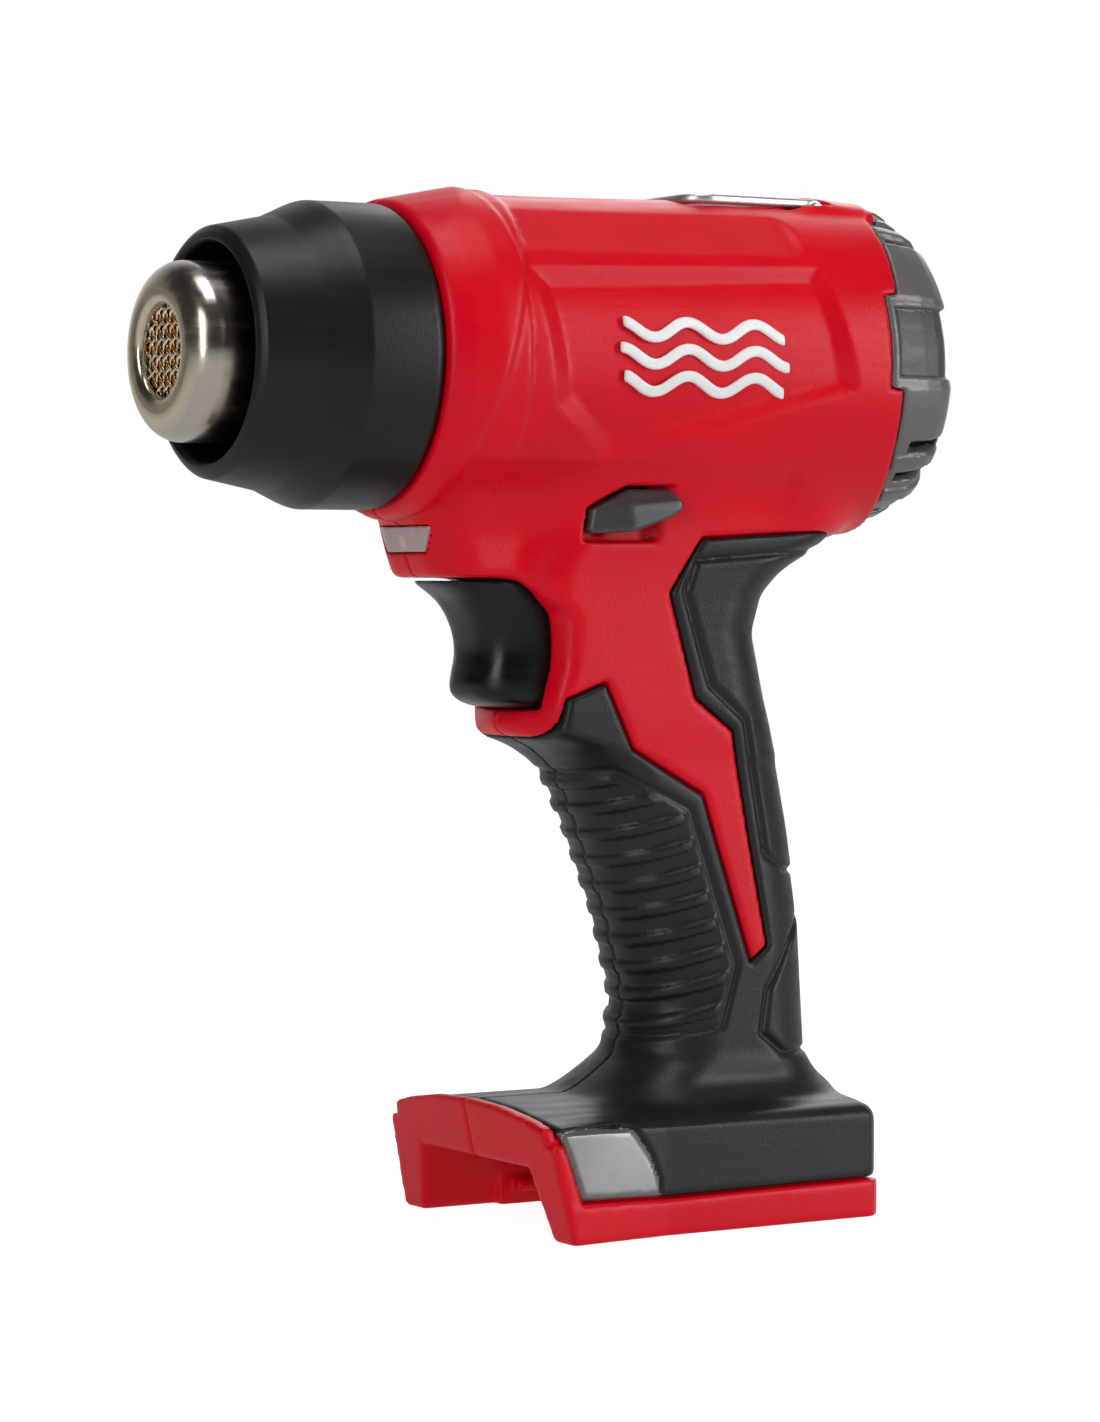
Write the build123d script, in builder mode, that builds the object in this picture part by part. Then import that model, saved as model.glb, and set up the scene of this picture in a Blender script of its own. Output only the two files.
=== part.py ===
"""Cordless heat gun, modelled in millimetres.

The nozzle points along -Y, the tool's left side is +X and +Z is up.
The origin is under the middle of the tool, on the surface its foot stands on.
Two moulded halves meet on the plane x = 0 and hold everything else.
"""

from build123d import *
import os

os.makedirs("parts", exist_ok=True)

# ---------------------------------------------------------------- driving dimensions
LENGTH = 170.0  # nozzle tip to the back of the intake cap
AXIS_HEIGHT = 176.5  # barrel axis above the surface the foot stands on
COLLAR_RADIUS = 34.2  # barrel at its front collar
BARREL_REAR_RADIUS = 34.9  # the barrel widens a little towards the back
GRIP_HALF_WIDTH = 17.0
FOOT_HALF_WIDTH = 34.6
SKIN = 1.2  # rubber overmould thickness
WALL = 2.4  # moulded housing wall

TIP = -LENGTH / 2
BACK = LENGTH / 2

# Stations along the barrel, front to back.
SHROUD_FRONT = -75.0
COLLAR_FRONT = -37.0
HOUSING_REAR = 69.0
BORE_FRONT_RADIUS = 30.4
BORE_REAR_RADIUS = 31.6

# Small gaps between touching pieces.
SEAM = 0.15
SLIDE_GAP = 0.3
SHAFT_GAP = 0.05

# Grip outline: height, front, back, half width. It leans back going down.
GRIP_SECTIONS = [
    (20.0, 7.0, 68.4, 21.5),
    (28.0, 12.0, 65.5, 18.5),
    (34.0, 20.0, 62.4, 17.2),
    (45.8, 21.2, 61.8, GRIP_HALF_WIDTH),
    (62.7, 17.0, 60.8, GRIP_HALF_WIDTH),
    (79.7, 10.4, 58.2, GRIP_HALF_WIDTH),
    (94.0, 4.0, 54.8, 17.3),
    (99.0, -4.5, 53.4, 17.6),
    (103.0, -9.0, 52.2, 17.9),
    (107.5, -8.5, 50.8, 18.1),
    (121.0, -7.5, 47.5, 18.6),
    (129.0, -8.5, 49.6, 19.0),
    (134.0, -9.0, 54.4, 19.4),
    (139.0, -9.0, 63.4, 20.0),
    (143.0, -9.0, 68.6, 20.4),
    (150.0, -9.0, 68.6, 20.4),
]

# Foot levels.
BAND_TOP = 8.2  # top of the red band round the foot
CHANNEL_TOP = 14.5  # ceiling of the battery channel
FOOT_TOP = 24.4

# Axis of the fold-up hanging hook, of the lock lever and of the trigger stem.
HOOK_PIVOT = (62.0, 209.8)
LEVER_PIVOT = (5.0, 143.0)
STEM_HEIGHT = 119.0
PIN_RADIUS = 0.9

# Closing screws, as (y, z) places on the parting plane, with the depth of the head's seat.
SCREW_PLACES = [
    (34.5, 39.0, 13.0),
    (45.0, 78.0, 13.0),
    (13.5, 98.0, 13.0),
    (38.5, 128.0, 13.0),
    (-17.0, 139.0, 10.5),
    (58.0, 143.0, 13.0),
]

# ---------------------------------------------------------------- planes and helpers
SIDE = Plane(origin=(0, 0, 0), x_dir=(0, 1, 0), z_dir=(1, 0, 0))  # sketch x is y, sketch y is z
AXIAL = Plane(origin=(0, 0, AXIS_HEIGHT), x_dir=(0, 1, 0), z_dir=(1, 0, 0))
BARREL_AXIS = Axis((0, 0, AXIS_HEIGHT), (0, 1, 0))


def across(y, z=AXIS_HEIGHT):
    """Plane square to the barrel at y, whose normal points to the back."""
    return Plane(origin=(0, y, z), x_dir=(-1, 0, 0), z_dir=(0, 1, 0))


def turned(outline):
    """Solid turned about the barrel axis from (y, radius) points."""
    with BuildPart() as solid:
        with BuildSketch(AXIAL):
            with BuildLine():
                Polyline(*outline, close=True)
            make_face()
        revolve(axis=BARREL_AXIS)
    return solid.part


def side_prism(outline, half_width):
    """Solid with a (y, z) outline, reaching half_width to each side of the parting plane."""
    with BuildPart() as solid:
        with BuildSketch(SIDE):
            with BuildLine():
                Polyline(*outline, close=True)
            make_face()
        extrude(amount=half_width, both=True)
    return solid.part


def block(low, high):
    """Box between two corners."""
    size = [b - a for a, b in zip(low, high)]
    centre = [(a + b) / 2 for a, b in zip(low, high)]
    with BuildPart() as solid:
        with Locations(tuple(centre)):
            Box(*size)
    return solid.part


def crossbar(y, z, radius, x_from, x_to):
    """Round bar along X."""
    with BuildPart() as solid:
        with BuildSketch(SIDE.offset(x_from)):
            with Locations((y, z)):
                Circle(radius)
        extrude(amount=x_to - x_from)
    return solid.part


def ring(y_from, y_to, outer, inner):
    """Tube about the barrel axis."""
    return turned([(y_from, inner), (y_from, outer), (y_to, outer), (y_to, inner)])


def grip_body(inset):
    """Lofted grip and neck, each section a rounded rectangle shrunk by inset."""
    with BuildPart() as grip:
        for height, front, back, half_width in GRIP_SECTIONS:
            with BuildSketch(Plane.XY.offset(height)):
                with Locations((0, (front + back) / 2)):
                    width = 2 * (half_width - inset)
                    RectangleRounded(width, back - front - 2 * inset, 0.46 * width)
        loft(ruled=True)
    return grip.part


def foot_body(inset):
    """Flared foot, its plan and top shrunk by inset."""
    front_width = FOOT_HALF_WIDTH - inset
    bend_width = FOOT_HALF_WIDTH - 2.8 - inset
    rear_width = FOOT_HALF_WIDTH - 3.8 - inset
    corner = 2.5
    rear = 66.4 - inset
    top = FOOT_TOP - inset
    with BuildPart() as foot:
        with BuildSketch(Plane.XY):
            with BuildLine():
                Polyline(
                    (-front_width, -20.0),
                    (front_width, -20.0),
                    (front_width, -10.8),
                    (bend_width, 13.0),
                    (rear_width, rear - corner),
                    (rear_width - corner, rear),
                    (corner - rear_width, rear),
                    (-rear_width, rear - corner),
                    (-bend_width, 13.0),
                    (-front_width, -10.8),
                    (-front_width, -20.0),
                )
            make_face()
        extrude(amount=FOOT_TOP + 4)
        # The front face leans forward going up.
        add(side_prism([(-10.8, 0), (-17.4, 30.0), (80.0, 30.0), (80.0, 0)], 60), mode=Mode.INTERSECT)
        with BuildSketch(Plane.XZ.offset(30), mode=Mode.PRIVATE) as crown:
            with BuildLine():
                Polyline((24, top), (31.6 - inset, top - 3.2), (front_width, 0), (-front_width, 0))
                Polyline((-front_width, 0), (inset - 31.6, top - 3.2), (-24, top))
                ThreePointArc((-24, top), (0, top + 2.0), (24, top))
            make_face()
        extrude(crown.sketch, amount=-120, mode=Mode.INTERSECT)
    return foot.part


def chin_body(inset):
    """Block under the collar that carries the light."""
    with BuildPart() as chin:
        for height, front in ((132.1 + inset, -27.5 + inset), (136.0, -30.0 + inset), (150.0, -33.0 + inset)):
            with BuildSketch(Plane.XY.offset(height)):
                with Locations((0, (front - 2.0) / 2)):
                    RectangleRounded(29.0 - 2 * inset, -2.0 - front, 6.0)
        loft(ruled=True)
    return chin.part


def left_half(solid):
    """The part of a solid on the tool's left, x above 0."""
    with BuildPart() as half:
        add(solid)
        split(bisect_by=Plane.YZ, keep=Keep.TOP)
    return half.part


def right_half(solid):
    """The part of a solid on the tool's right, x below 0."""
    with BuildPart() as half:
        add(solid)
        split(bisect_by=Plane.YZ, keep=Keep.BOTTOM)
    return half.part


pieces = []


def keep(builder, label):
    """Name a finished piece and write it out."""
    builder.part.label = label
    pieces.append(label)
    export_step(builder.part, f"parts/{label}.step")


# ---------------------------------------------------------------- housing and overmould
# Side outline of the rubber: the front grip, the back of the handle and the foot's cover,
# with a red wedge of housing left bare between front and back.
RUBBER_OUTLINE = [
    (-40.0, 92.0),
    (-7.4, 99.4),
    (-2.2, 107.9),
    (6.8, 111.2),
    (13.8, 97.5),
    (31.0, 87.9),
    (42.9, 53.0),
    (46.8, 56.0),
    (37.7, 100.9),
    (28.4, 107.8),
    (21.7, 129.3),
    (28.7, 140.5),
    (58.0, 142.2),
    (90.0, 142.2),
    (90.0, BAND_TOP),
    (12.3, BAND_TOP - 0.6),
    (-8.0, BAND_TOP),
    (-12.6, 22.5),
    (-13.0, 34.0),
    (-40.0, 60.0),
]

# Barrel outline, (y, radius).
BARREL_OUTLINE = [
    (COLLAR_FRONT, 0),
    (COLLAR_FRONT, 31.5),
    (-33.2, 33.2),
    (-27.0, COLLAR_RADIUS - 0.3),
    (-18.0, COLLAR_RADIUS),
    (-12.0, COLLAR_RADIUS - 1.0),
    (20.0, 34.0),
    (60.0, BARREL_REAR_RADIUS),
    (HOUSING_REAR - 1, BARREL_REAR_RADIUS),
    (HOUSING_REAR, BARREL_REAR_RADIUS - 0.6),
    (HOUSING_REAR, 0),
]

# Barrel bore, (y, radius): a groove near the front grips the shroud's lip.
BORE_OUTLINE = [
    (COLLAR_FRONT - 1, 0),
    (COLLAR_FRONT - 1, 28.4),
    (-33.2, 28.4),
    (-33.2, 30.6),
    (-29.8, 30.6),
    (-29.8, 28.4),
    (-27.0, 28.4),
    (-26.0, BORE_FRONT_RADIUS),
    (60.0, BORE_REAR_RADIUS),
    (HOUSING_REAR + 1, BORE_REAR_RADIUS),
    (HOUSING_REAR + 1, 0),
]

# Raised red hood over the hook's pivot.
HOOD_REAR = 77.0
HOOD_LOW = 206.0
HOOD_OUTLINE = [
    (56.0, HOOD_LOW),
    (56.0, 210.0),
    (58.5, 212.4),
    (63.0, 212.8),
    (HOOD_REAR, 211.4),
    (HOOD_REAR, HOOD_LOW),
]
HOOD_HALF_WIDTH = 14.0

FLAT_SIDE = 33.0  # the barrel's flat side panels stand this far from the parting plane

barrel_outer = turned(BARREL_OUTLINE)
barrel_bore = turned(BORE_OUTLINE)
rubber_zone = side_prism(RUBBER_OUTLINE, 60)
hood = side_prism(HOOD_OUTLINE, HOOD_HALF_WIDTH)

with BuildPart() as soft_core:
    add(grip_body(SKIN))
    add(foot_body(SKIN))

with BuildPart() as soft_outer:
    add(grip_body(0))
    add(foot_body(0))

# The stowed hook lies in a flat recess, and its arms turn in two slots in the hood.
HOOK_ARM_INNER = 8.0
HOOK_ARM_OUTER = 11.5
HOOK_FRONT = 31.0
HOOK_LOW = 209.7
HOOK_HIGH = 211.7
EYE_RADIUS = HOOK_HIGH - HOOK_PIVOT[1]
SLOT_FLOOR = HOOK_PIVOT[1] - EYE_RADIUS - SLIDE_GAP

# Light strip across the chin.
LENS_LOW = 137.0
LENS_HIGH = 142.0
LENS_HALF_WIDTH = 11.5
LENS_THICKNESS = 2.2

# Window in each flank for the lock lever's paddle.
WINDOW_LOW = (17.3, 0.8, 139.2)
WINDOW_HIGH = (40.0, 22.6, 151.2)


def mirror_box(low, high, side):
    """The box between two corners, or its mirror image across the parting plane."""
    edges = sorted((side * low[0], side * high[0]))
    return block((edges[0], low[1], low[2]), (edges[1], high[1], high[2]))


with BuildPart() as handle_hollow:
    add(grip_body(SKIN + WALL))
    add(block((-60, -60, 16.6), (60, 120, 149.0)), mode=Mode.INTERSECT)

with BuildPart() as shell:
    # Outside: barrel, neck and foot at full size where red shows, one skin smaller under rubber.
    add(soft_outer.part)
    add(rubber_zone, mode=Mode.SUBTRACT)
    add(soft_core.part)
    add(barrel_outer)
    add(chin_body(0))
    add(hood)
    for side in (1, -1):
        add(mirror_box((FLAT_SIDE, -12.0, 150.0), (40.0, 52.0, 200.0), side), mode=Mode.SUBTRACT)
    # Inside: bore, handle, chin and foot.
    add(barrel_bore, mode=Mode.SUBTRACT)
    add(handle_hollow.part, mode=Mode.SUBTRACT)
    add(block((-24, -4.0, 16.8), (24, 60.0, 21.0)), mode=Mode.SUBTRACT)
    add(block((-11.5, -28.0, 134.6), (11.5, -11.0, 150.0)), mode=Mode.SUBTRACT)
    # Battery channel: wide mouth, then a narrower run with two rails on each side.
    with BuildSketch(Plane.XZ.offset(20)):
        with BuildLine():
            Polyline((-26.5, -1), (-21.5, CHANNEL_TOP), (21.5, CHANNEL_TOP), (26.5, -1), close=True)
        make_face()
    extrude(amount=-26, mode=Mode.SUBTRACT)
    add(block((-23.5, 5.0, -1), (23.5, 56.0, CHANNEL_TOP)), mode=Mode.SUBTRACT)
    for side in (1, -1):
        for rail_low in (3.0, 8.5):
            add(mirror_box((20.5, 9.0, rail_low), (24.0, 54.0, rail_low + 2.5), side))
    # Opening for the terminal block in the channel's ceiling.
    add(block((-14.2, 29.8, CHANNEL_TOP - 1), (14.2, 50.2, 17.5)), mode=Mode.SUBTRACT)
    # Mouth for the trigger.
    add(block((-12.4, -40.0, 105.6), (12.4, 12.0, 131.9)), mode=Mode.SUBTRACT)
    # Screw bosses, then behind each window a plate that is its floor and the lever's bearing.
    for y, z, seat in SCREW_PLACES:
        add(crossbar(y, z, 3.4, -seat - 1.5, seat + 1.5))
    for side in (1, -1):
        add(mirror_box((14.3, -5.0, 136.5), (17.4, 31.0, 149.2), side))
        slot_low = (HOOK_ARM_INNER - SLIDE_GAP, 54.0, SLOT_FLOOR)
        slot_high = (HOOK_ARM_OUTER + SLIDE_GAP, HOOK_PIVOT[0] + 3.8, 220.0)
        add(mirror_box(slot_low, slot_high, side), mode=Mode.SUBTRACT)
        add(mirror_box(WINDOW_LOW, WINDOW_HIGH, side), mode=Mode.SUBTRACT)
    add(crossbar(*LEVER_PIVOT, 2.5 + SHAFT_GAP, -20, 20), mode=Mode.SUBTRACT)
    recess_low = (-HOOK_ARM_OUTER - 0.5, HOOK_FRONT - 0.8, HOOK_LOW - SLIDE_GAP)
    add(block(recess_low, (HOOK_ARM_OUTER + 0.5, 56.0, 220.0)), mode=Mode.SUBTRACT)
    add(crossbar(*HOOK_PIVOT, PIN_RADIUS, -12.9, 12.9), mode=Mode.SUBTRACT)
    # Place for the light strip.
    lens_low = (-LENS_HALF_WIDTH - SEAM, -50, LENS_LOW)
    add(block(lens_low, (LENS_HALF_WIDTH + SEAM, -26.5, LENS_HIGH)), mode=Mode.SUBTRACT)
    # Screw holes: head seat and clearance on the right, thread core on the left.
    for y, z, seat in SCREW_PLACES:
        add(crossbar(y, z, 3.0, -40, 1.5 - seat), mode=Mode.SUBTRACT)
        add(crossbar(y, z, 1.45, -seat, seat - 3), mode=Mode.SUBTRACT)

with BuildPart() as left_housing:
    add(left_half(shell.part))
keep(left_housing, "left_housing")

with BuildPart() as right_housing:
    add(right_half(shell.part))
keep(right_housing, "right_housing")

with BuildPart() as overmould:
    add(soft_outer.part)
    add(rubber_zone, mode=Mode.INTERSECT)
    add(soft_core.part, mode=Mode.SUBTRACT)
    for y, z, seat in SCREW_PLACES:
        add(crossbar(y, z, 3.0, -40, 1.5 - seat), mode=Mode.SUBTRACT)
    add(barrel_outer, mode=Mode.SUBTRACT)

with BuildPart() as left_overmould:
    add(left_half(overmould.part))
keep(left_overmould, "left_overmould")

with BuildPart() as right_overmould:
    add(right_half(overmould.part))
keep(right_overmould, "right_overmould")

# ---------------------------------------------------------------- nose
SHROUD_OUTLINE = [
    (SHROUD_FRONT, 23.2),
    (SHROUD_FRONT + 1.4, 24.7),
    (-61.4, 27.3),
    (-54.7, 30.2),
    (-53.0, 30.7),
    (-38.6, 30.7),
    (COLLAR_FRONT - SLIDE_GAP, 29.6),
    (COLLAR_FRONT - SLIDE_GAP, 28.1),
    (-32.9, 28.1),
    (-32.9, 30.2),
    (-30.1, 30.2),
    (-30.1, 26.4),
    (-44.2, 26.4),
    (-44.2, 21.5),
    (SHROUD_FRONT, 21.5),
]
with BuildPart() as nose_shroud:
    add(turned(SHROUD_OUTLINE))
    with BuildSketch(across(-44.2)):
        with PolarLocations(24.0, 3, start_angle=30):
            Circle(1.0)
    extrude(amount=-6, mode=Mode.SUBTRACT)
keep(nose_shroud, "nose_shroud")

NOZZLE_RADIUS = 17.8
NOZZLE_BACK_RADIUS = 17.2
NOZZLE_STEP = -66.0
MOUTH_RADIUS = 9.4
SHEET = 1.0
FLANGE_REAR = -43.2
with BuildPart() as nozzle:
    with BuildSketch(AXIAL):
        with BuildLine():
            Polyline((TIP + 1.0, MOUTH_RADIUS), (TIP, MOUTH_RADIUS + 0.8), (TIP, 12.8))
            RadiusArc((TIP, 12.8), (TIP + 5.0, NOZZLE_RADIUS), 5.0)
            Polyline(
                (TIP + 5.0, NOZZLE_RADIUS),
                (NOZZLE_STEP, NOZZLE_RADIUS),
                (NOZZLE_STEP + 0.6, NOZZLE_BACK_RADIUS),
                (FLANGE_REAR - SHEET, NOZZLE_BACK_RADIUS),
                (FLANGE_REAR - SHEET, 26.1),
                (FLANGE_REAR, 26.1),
                (FLANGE_REAR, NOZZLE_BACK_RADIUS - SHEET),
                (NOZZLE_STEP, NOZZLE_BACK_RADIUS - SHEET),
                (TIP + 5.0, NOZZLE_BACK_RADIUS - SHEET),
            )
            RadiusArc((TIP + 5.0, NOZZLE_BACK_RADIUS - SHEET), (TIP + SHEET, 12.8), -4.0)
            Polyline((TIP + SHEET, 12.8), (TIP + 1.6, MOUTH_RADIUS + 0.4), (TIP + 1.0, MOUTH_RADIUS))
        make_face()
    revolve(axis=BARREL_AXIS)
    with BuildSketch(across(-45)):
        with PolarLocations(24.0, 3, start_angle=30):
            Circle(1.2)
    extrude(amount=4, mode=Mode.SUBTRACT)
keep(nozzle, "nozzle")


def open_cells(pitch, reach):
    """Centres of a square weave's openings that lie within reach of the middle."""
    count = int(reach / pitch)
    steps = [pitch * step for step in range(-count, count + 1)]
    return [(u, v) for u in steps for v in steps if u * u + v * v < reach * reach]


# Woven screen just inside the mouth.
MESH_PITCH = 1.9
with BuildPart() as nozzle_mesh:
    with BuildSketch(across(TIP + 2.4)):
        Circle(11.6)
        with Locations(*open_cells(MESH_PITCH, 10.0)):
            Rectangle(MESH_PITCH - 0.7, MESH_PITCH - 0.7, mode=Mode.SUBTRACT)
    extrude(amount=0.6)
keep(nozzle_mesh, "nozzle_mesh")

with BuildPart() as nozzle_retainer:
    add(ring(FLANGE_REAR, FLANGE_REAR + 3, 26.1, 18.4))
    with BuildSketch(across(FLANGE_REAR)):
        with PolarLocations(24.0, 3, start_angle=30):
            Circle(1.2)
    extrude(amount=4, mode=Mode.SUBTRACT)
keep(nozzle_retainer, "nozzle_retainer")

with BuildPart() as retainer_screws:
    with BuildSketch(across(FLANGE_REAR + 3)):
        with PolarLocations(24.0, 3, start_angle=30):
            Circle(1.8)
    extrude(amount=1.4)
    with BuildSketch(across(FLANGE_REAR + 3)):
        with PolarLocations(24.0, 3, start_angle=30):
            Circle(0.95)
    extrude(amount=-9)
keep(retainer_screws, "retainer_screws")

# ---------------------------------------------------------------- heater
HEATER_FRONT = -78.0
HEATER_REAR = -18.0
CROSS_RADIUS = 9.3
with BuildPart() as mica_cross:
    with BuildSketch(across(HEATER_FRONT + 2)):
        Rectangle(2 * CROSS_RADIUS, 1.0)
        Rectangle(1.0, 2 * CROSS_RADIUS)
    extrude(amount=HEATER_REAR - HEATER_FRONT - 2)
keep(mica_cross, "mica_cross")

# Winding: turns of flat ribbon round the mica cross, joined by two short links between turns.
COIL_TURNS = 14
COIL_PITCH = 3.6
RIBBON_WIDTH = 1.4
RIBBON_INNER = 9.6
RIBBON_OUTER = 10.4
COIL_FRONT = HEATER_FRONT + 6
COIL_LENGTH = (COIL_TURNS - 1) * COIL_PITCH + RIBBON_WIDTH
with BuildPart() as heater_coil:
    for turn in range(COIL_TURNS):
        start = COIL_FRONT + turn * COIL_PITCH
        add(ring(start, start + RIBBON_WIDTH, RIBBON_OUTER, RIBBON_INNER))
    with BuildSketch(across(COIL_FRONT)):
        with PolarLocations((RIBBON_INNER + RIBBON_OUTER) / 2, 2, start_angle=45):
            Rectangle(0.5, 1.2)
    extrude(amount=COIL_LENGTH)
keep(heater_coil, "heater_coil")

with BuildPart() as mica_tube:
    add(ring(HEATER_FRONT, HEATER_REAR, 12.6, 12.0))
keep(mica_tube, "mica_tube")

with BuildPart() as insulation_sleeve:
    add(ring(-72.0, -46.0, 16.1, 12.7))
keep(insulation_sleeve, "insulation_sleeve")

with BuildPart() as heater_holder:
    add(turned([(-24, 12.7), (-24, 15.5), (-16, 15.5), (-16, 30.0), (-13, 30.0), (-13, 12.7)]))
    with BuildSketch(across(-17)):
        with PolarLocations(22.5, 6):
            Circle(3.0)
    extrude(amount=6, mode=Mode.SUBTRACT)
keep(heater_holder, "heater_holder")

with BuildPart() as heater_terminals:
    with BuildSketch(across(HEATER_REAR + 0.1)):
        Circle(11.8)
        with PolarLocations(7.0, 4):
            Circle(2.6, mode=Mode.SUBTRACT)
    extrude(amount=1.6)
    with BuildSketch(across(HEATER_REAR + 1.7)):
        with Locations((-4.5, 0), (4.5, 0)):
            Rectangle(1.0, 3.0)
    extrude(amount=3.2)
keep(heater_terminals, "heater_terminals")

with BuildPart() as thermal_cutoff:
    with BuildSketch(across(-12.9)):
        with Locations((0, 20)):
            Circle(4.2)
    extrude(amount=3.5)
keep(thermal_cutoff, "thermal_cutoff")

# ---------------------------------------------------------------- blower
DUCT_OUTER = 29.6
DUCT_INNER = 28.4
with BuildPart() as air_duct:
    add(
        turned(
            [
                (-8.0, 13.0),
                (-8.0, 14.4),
                (2.0, DUCT_OUTER),
                (63.5, DUCT_OUTER),
                (63.5, DUCT_INNER),
                (2.8, DUCT_INNER),
                (-6.8, 13.0),
            ]
        )
    )
keep(air_duct, "air_duct")

MOTOR_RADIUS = 15.0
MOTOR_FRONT = 8.0
MOTOR_REAR = 44.0
SHAFT_RADIUS = 1.5
with BuildPart(across(26)) as struts:
    with PolarLocations((MOTOR_RADIUS + DUCT_INNER) / 2 + 0.3, 4, start_angle=45):
        Box(DUCT_INNER - MOTOR_RADIUS - 1.2, 2.0, 12.0)

with BuildPart() as motor_cradle:
    add(ring(20, 32, MOTOR_RADIUS + 1.8, MOTOR_RADIUS))
    add(struts.part)
keep(motor_cradle, "motor_cradle")

with BuildPart() as motor_can:
    add(
        turned(
            [
                (MOTOR_FRONT, SHAFT_RADIUS + SHAFT_GAP),
                (MOTOR_FRONT, MOTOR_RADIUS),
                (MOTOR_REAR, MOTOR_RADIUS),
                (MOTOR_REAR, MOTOR_RADIUS - 1.2),
                (MOTOR_FRONT + 2, MOTOR_RADIUS - 1.2),
                (MOTOR_FRONT + 2, SHAFT_RADIUS + SHAFT_GAP),
            ]
        )
    )
keep(motor_can, "motor_can")

with BuildPart() as motor_magnets:
    add(ring(13, 39, MOTOR_RADIUS - 1.2, 9.6))
    add(block((-3.0, 10, 100), (3.0, 42, 250)), mode=Mode.SUBTRACT)
keep(motor_magnets, "motor_magnets")

with BuildPart() as motor_endcap:
    add(ring(MOTOR_REAR, MOTOR_REAR + 3, MOTOR_RADIUS, SHAFT_RADIUS + SHAFT_GAP))
keep(motor_endcap, "motor_endcap")

with BuildPart() as motor_rotor:
    add(ring(14, 38, 9.0, SHAFT_RADIUS))
    with BuildSketch(across(13)):
        with PolarLocations(8.6, 5):
            Rectangle(3.0, 1.2)
    extrude(amount=26, mode=Mode.SUBTRACT)
keep(motor_rotor, "motor_rotor")

with BuildPart() as motor_shaft:
    with BuildSketch(across(MOTOR_FRONT - 2)):
        Circle(SHAFT_RADIUS)
    extrude(amount=62)
keep(motor_shaft, "motor_shaft")

FAN_FRONT = 50.0
FAN_DEPTH = 10.0
FAN_RADIUS = 27.0
BLADE_COUNT = 9
with BuildPart(across(FAN_FRONT + FAN_DEPTH / 2)) as blades:
    with PolarLocations((FAN_RADIUS + 7) / 2, BLADE_COUNT):
        Box(FAN_RADIUS - 7, 1.2, 10.5, rotation=(38, 0, 0))

with BuildPart() as fan_impeller:
    with BuildSketch(across(FAN_FRONT)):
        Circle(8.0)
    extrude(amount=FAN_DEPTH)
    add(blades.part)
    add(ring(FAN_FRONT - 3, FAN_FRONT + FAN_DEPTH + 3, FAN_RADIUS + 6, FAN_RADIUS), mode=Mode.SUBTRACT)
    with BuildSketch(across(FAN_FRONT - 1)):
        Circle(SHAFT_RADIUS)
    extrude(amount=FAN_DEPTH + 2, mode=Mode.SUBTRACT)
keep(fan_impeller, "fan_impeller")

# ---------------------------------------------------------------- rear intake cap
CAP_FRONT = HOUSING_REAR + SEAM
CAP_WALL = 2.2
VENT_COUNT = 16
CAP_OUTLINE = [
    (CAP_FRONT, 29.8),
    (CAP_FRONT, 34.3),
    (75.0, 34.3),
    (79.4, 33.5),
    (82.4, 31.8),
    (84.2, 29.8),
    (BACK, 28.0),
    (BACK, 0),
    (BACK - CAP_WALL, 0),
    (BACK - CAP_WALL, 26.8),
    (81.0, 29.6),
    (75.0, 31.9),
    (72.4, 29.8),
]
with BuildPart(across(79.0)) as inlet_slots:
    with PolarLocations(32.0, VENT_COUNT, start_angle=180 / VENT_COUNT):
        Box(10.0, 2.6, 7.0)

with BuildPart() as intake_cap:
    add(turned(CAP_OUTLINE))
    # Spigot that plugs into the barrel.
    add(ring(64.0, CAP_FRONT + 1, BORE_REAR_RADIUS - 0.2, 29.8))
    # Inlet slots round the shoulder and concentric arcs in the back.
    add(inlet_slots.part, mode=Mode.SUBTRACT)
    with BuildSketch(across(BACK - CAP_WALL - 1)):
        for radius in (20.0, 15.0, 10.0):
            Circle(radius + 1.2)
            Circle(radius - 1.2, mode=Mode.SUBTRACT)
        with PolarLocations(0, 4, start_angle=45):
            Rectangle(60, 4.0, mode=Mode.SUBTRACT)
    extrude(amount=CAP_WALL + 2, mode=Mode.SUBTRACT)
    # The red hood runs back over the top of the cap.
    clear = HOOD_HALF_WIDTH + SLIDE_GAP
    notch_low = (-clear, CAP_FRONT - 1, HOOD_LOW - SLIDE_GAP)
    add(block(notch_low, (clear, HOOD_REAR + SLIDE_GAP, 220)), mode=Mode.SUBTRACT)
keep(intake_cap, "intake_cap")

SCREEN_PITCH = 4.0
with BuildPart() as intake_screen:
    with BuildSketch(across(72.6)):
        Circle(28.6)
        with Locations(*open_cells(SCREEN_PITCH, 25.0)):
            Rectangle(SCREEN_PITCH - 1.0, SCREEN_PITCH - 1.0, mode=Mode.SUBTRACT)
    extrude(amount=0.8)
keep(intake_screen, "intake_screen")

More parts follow.
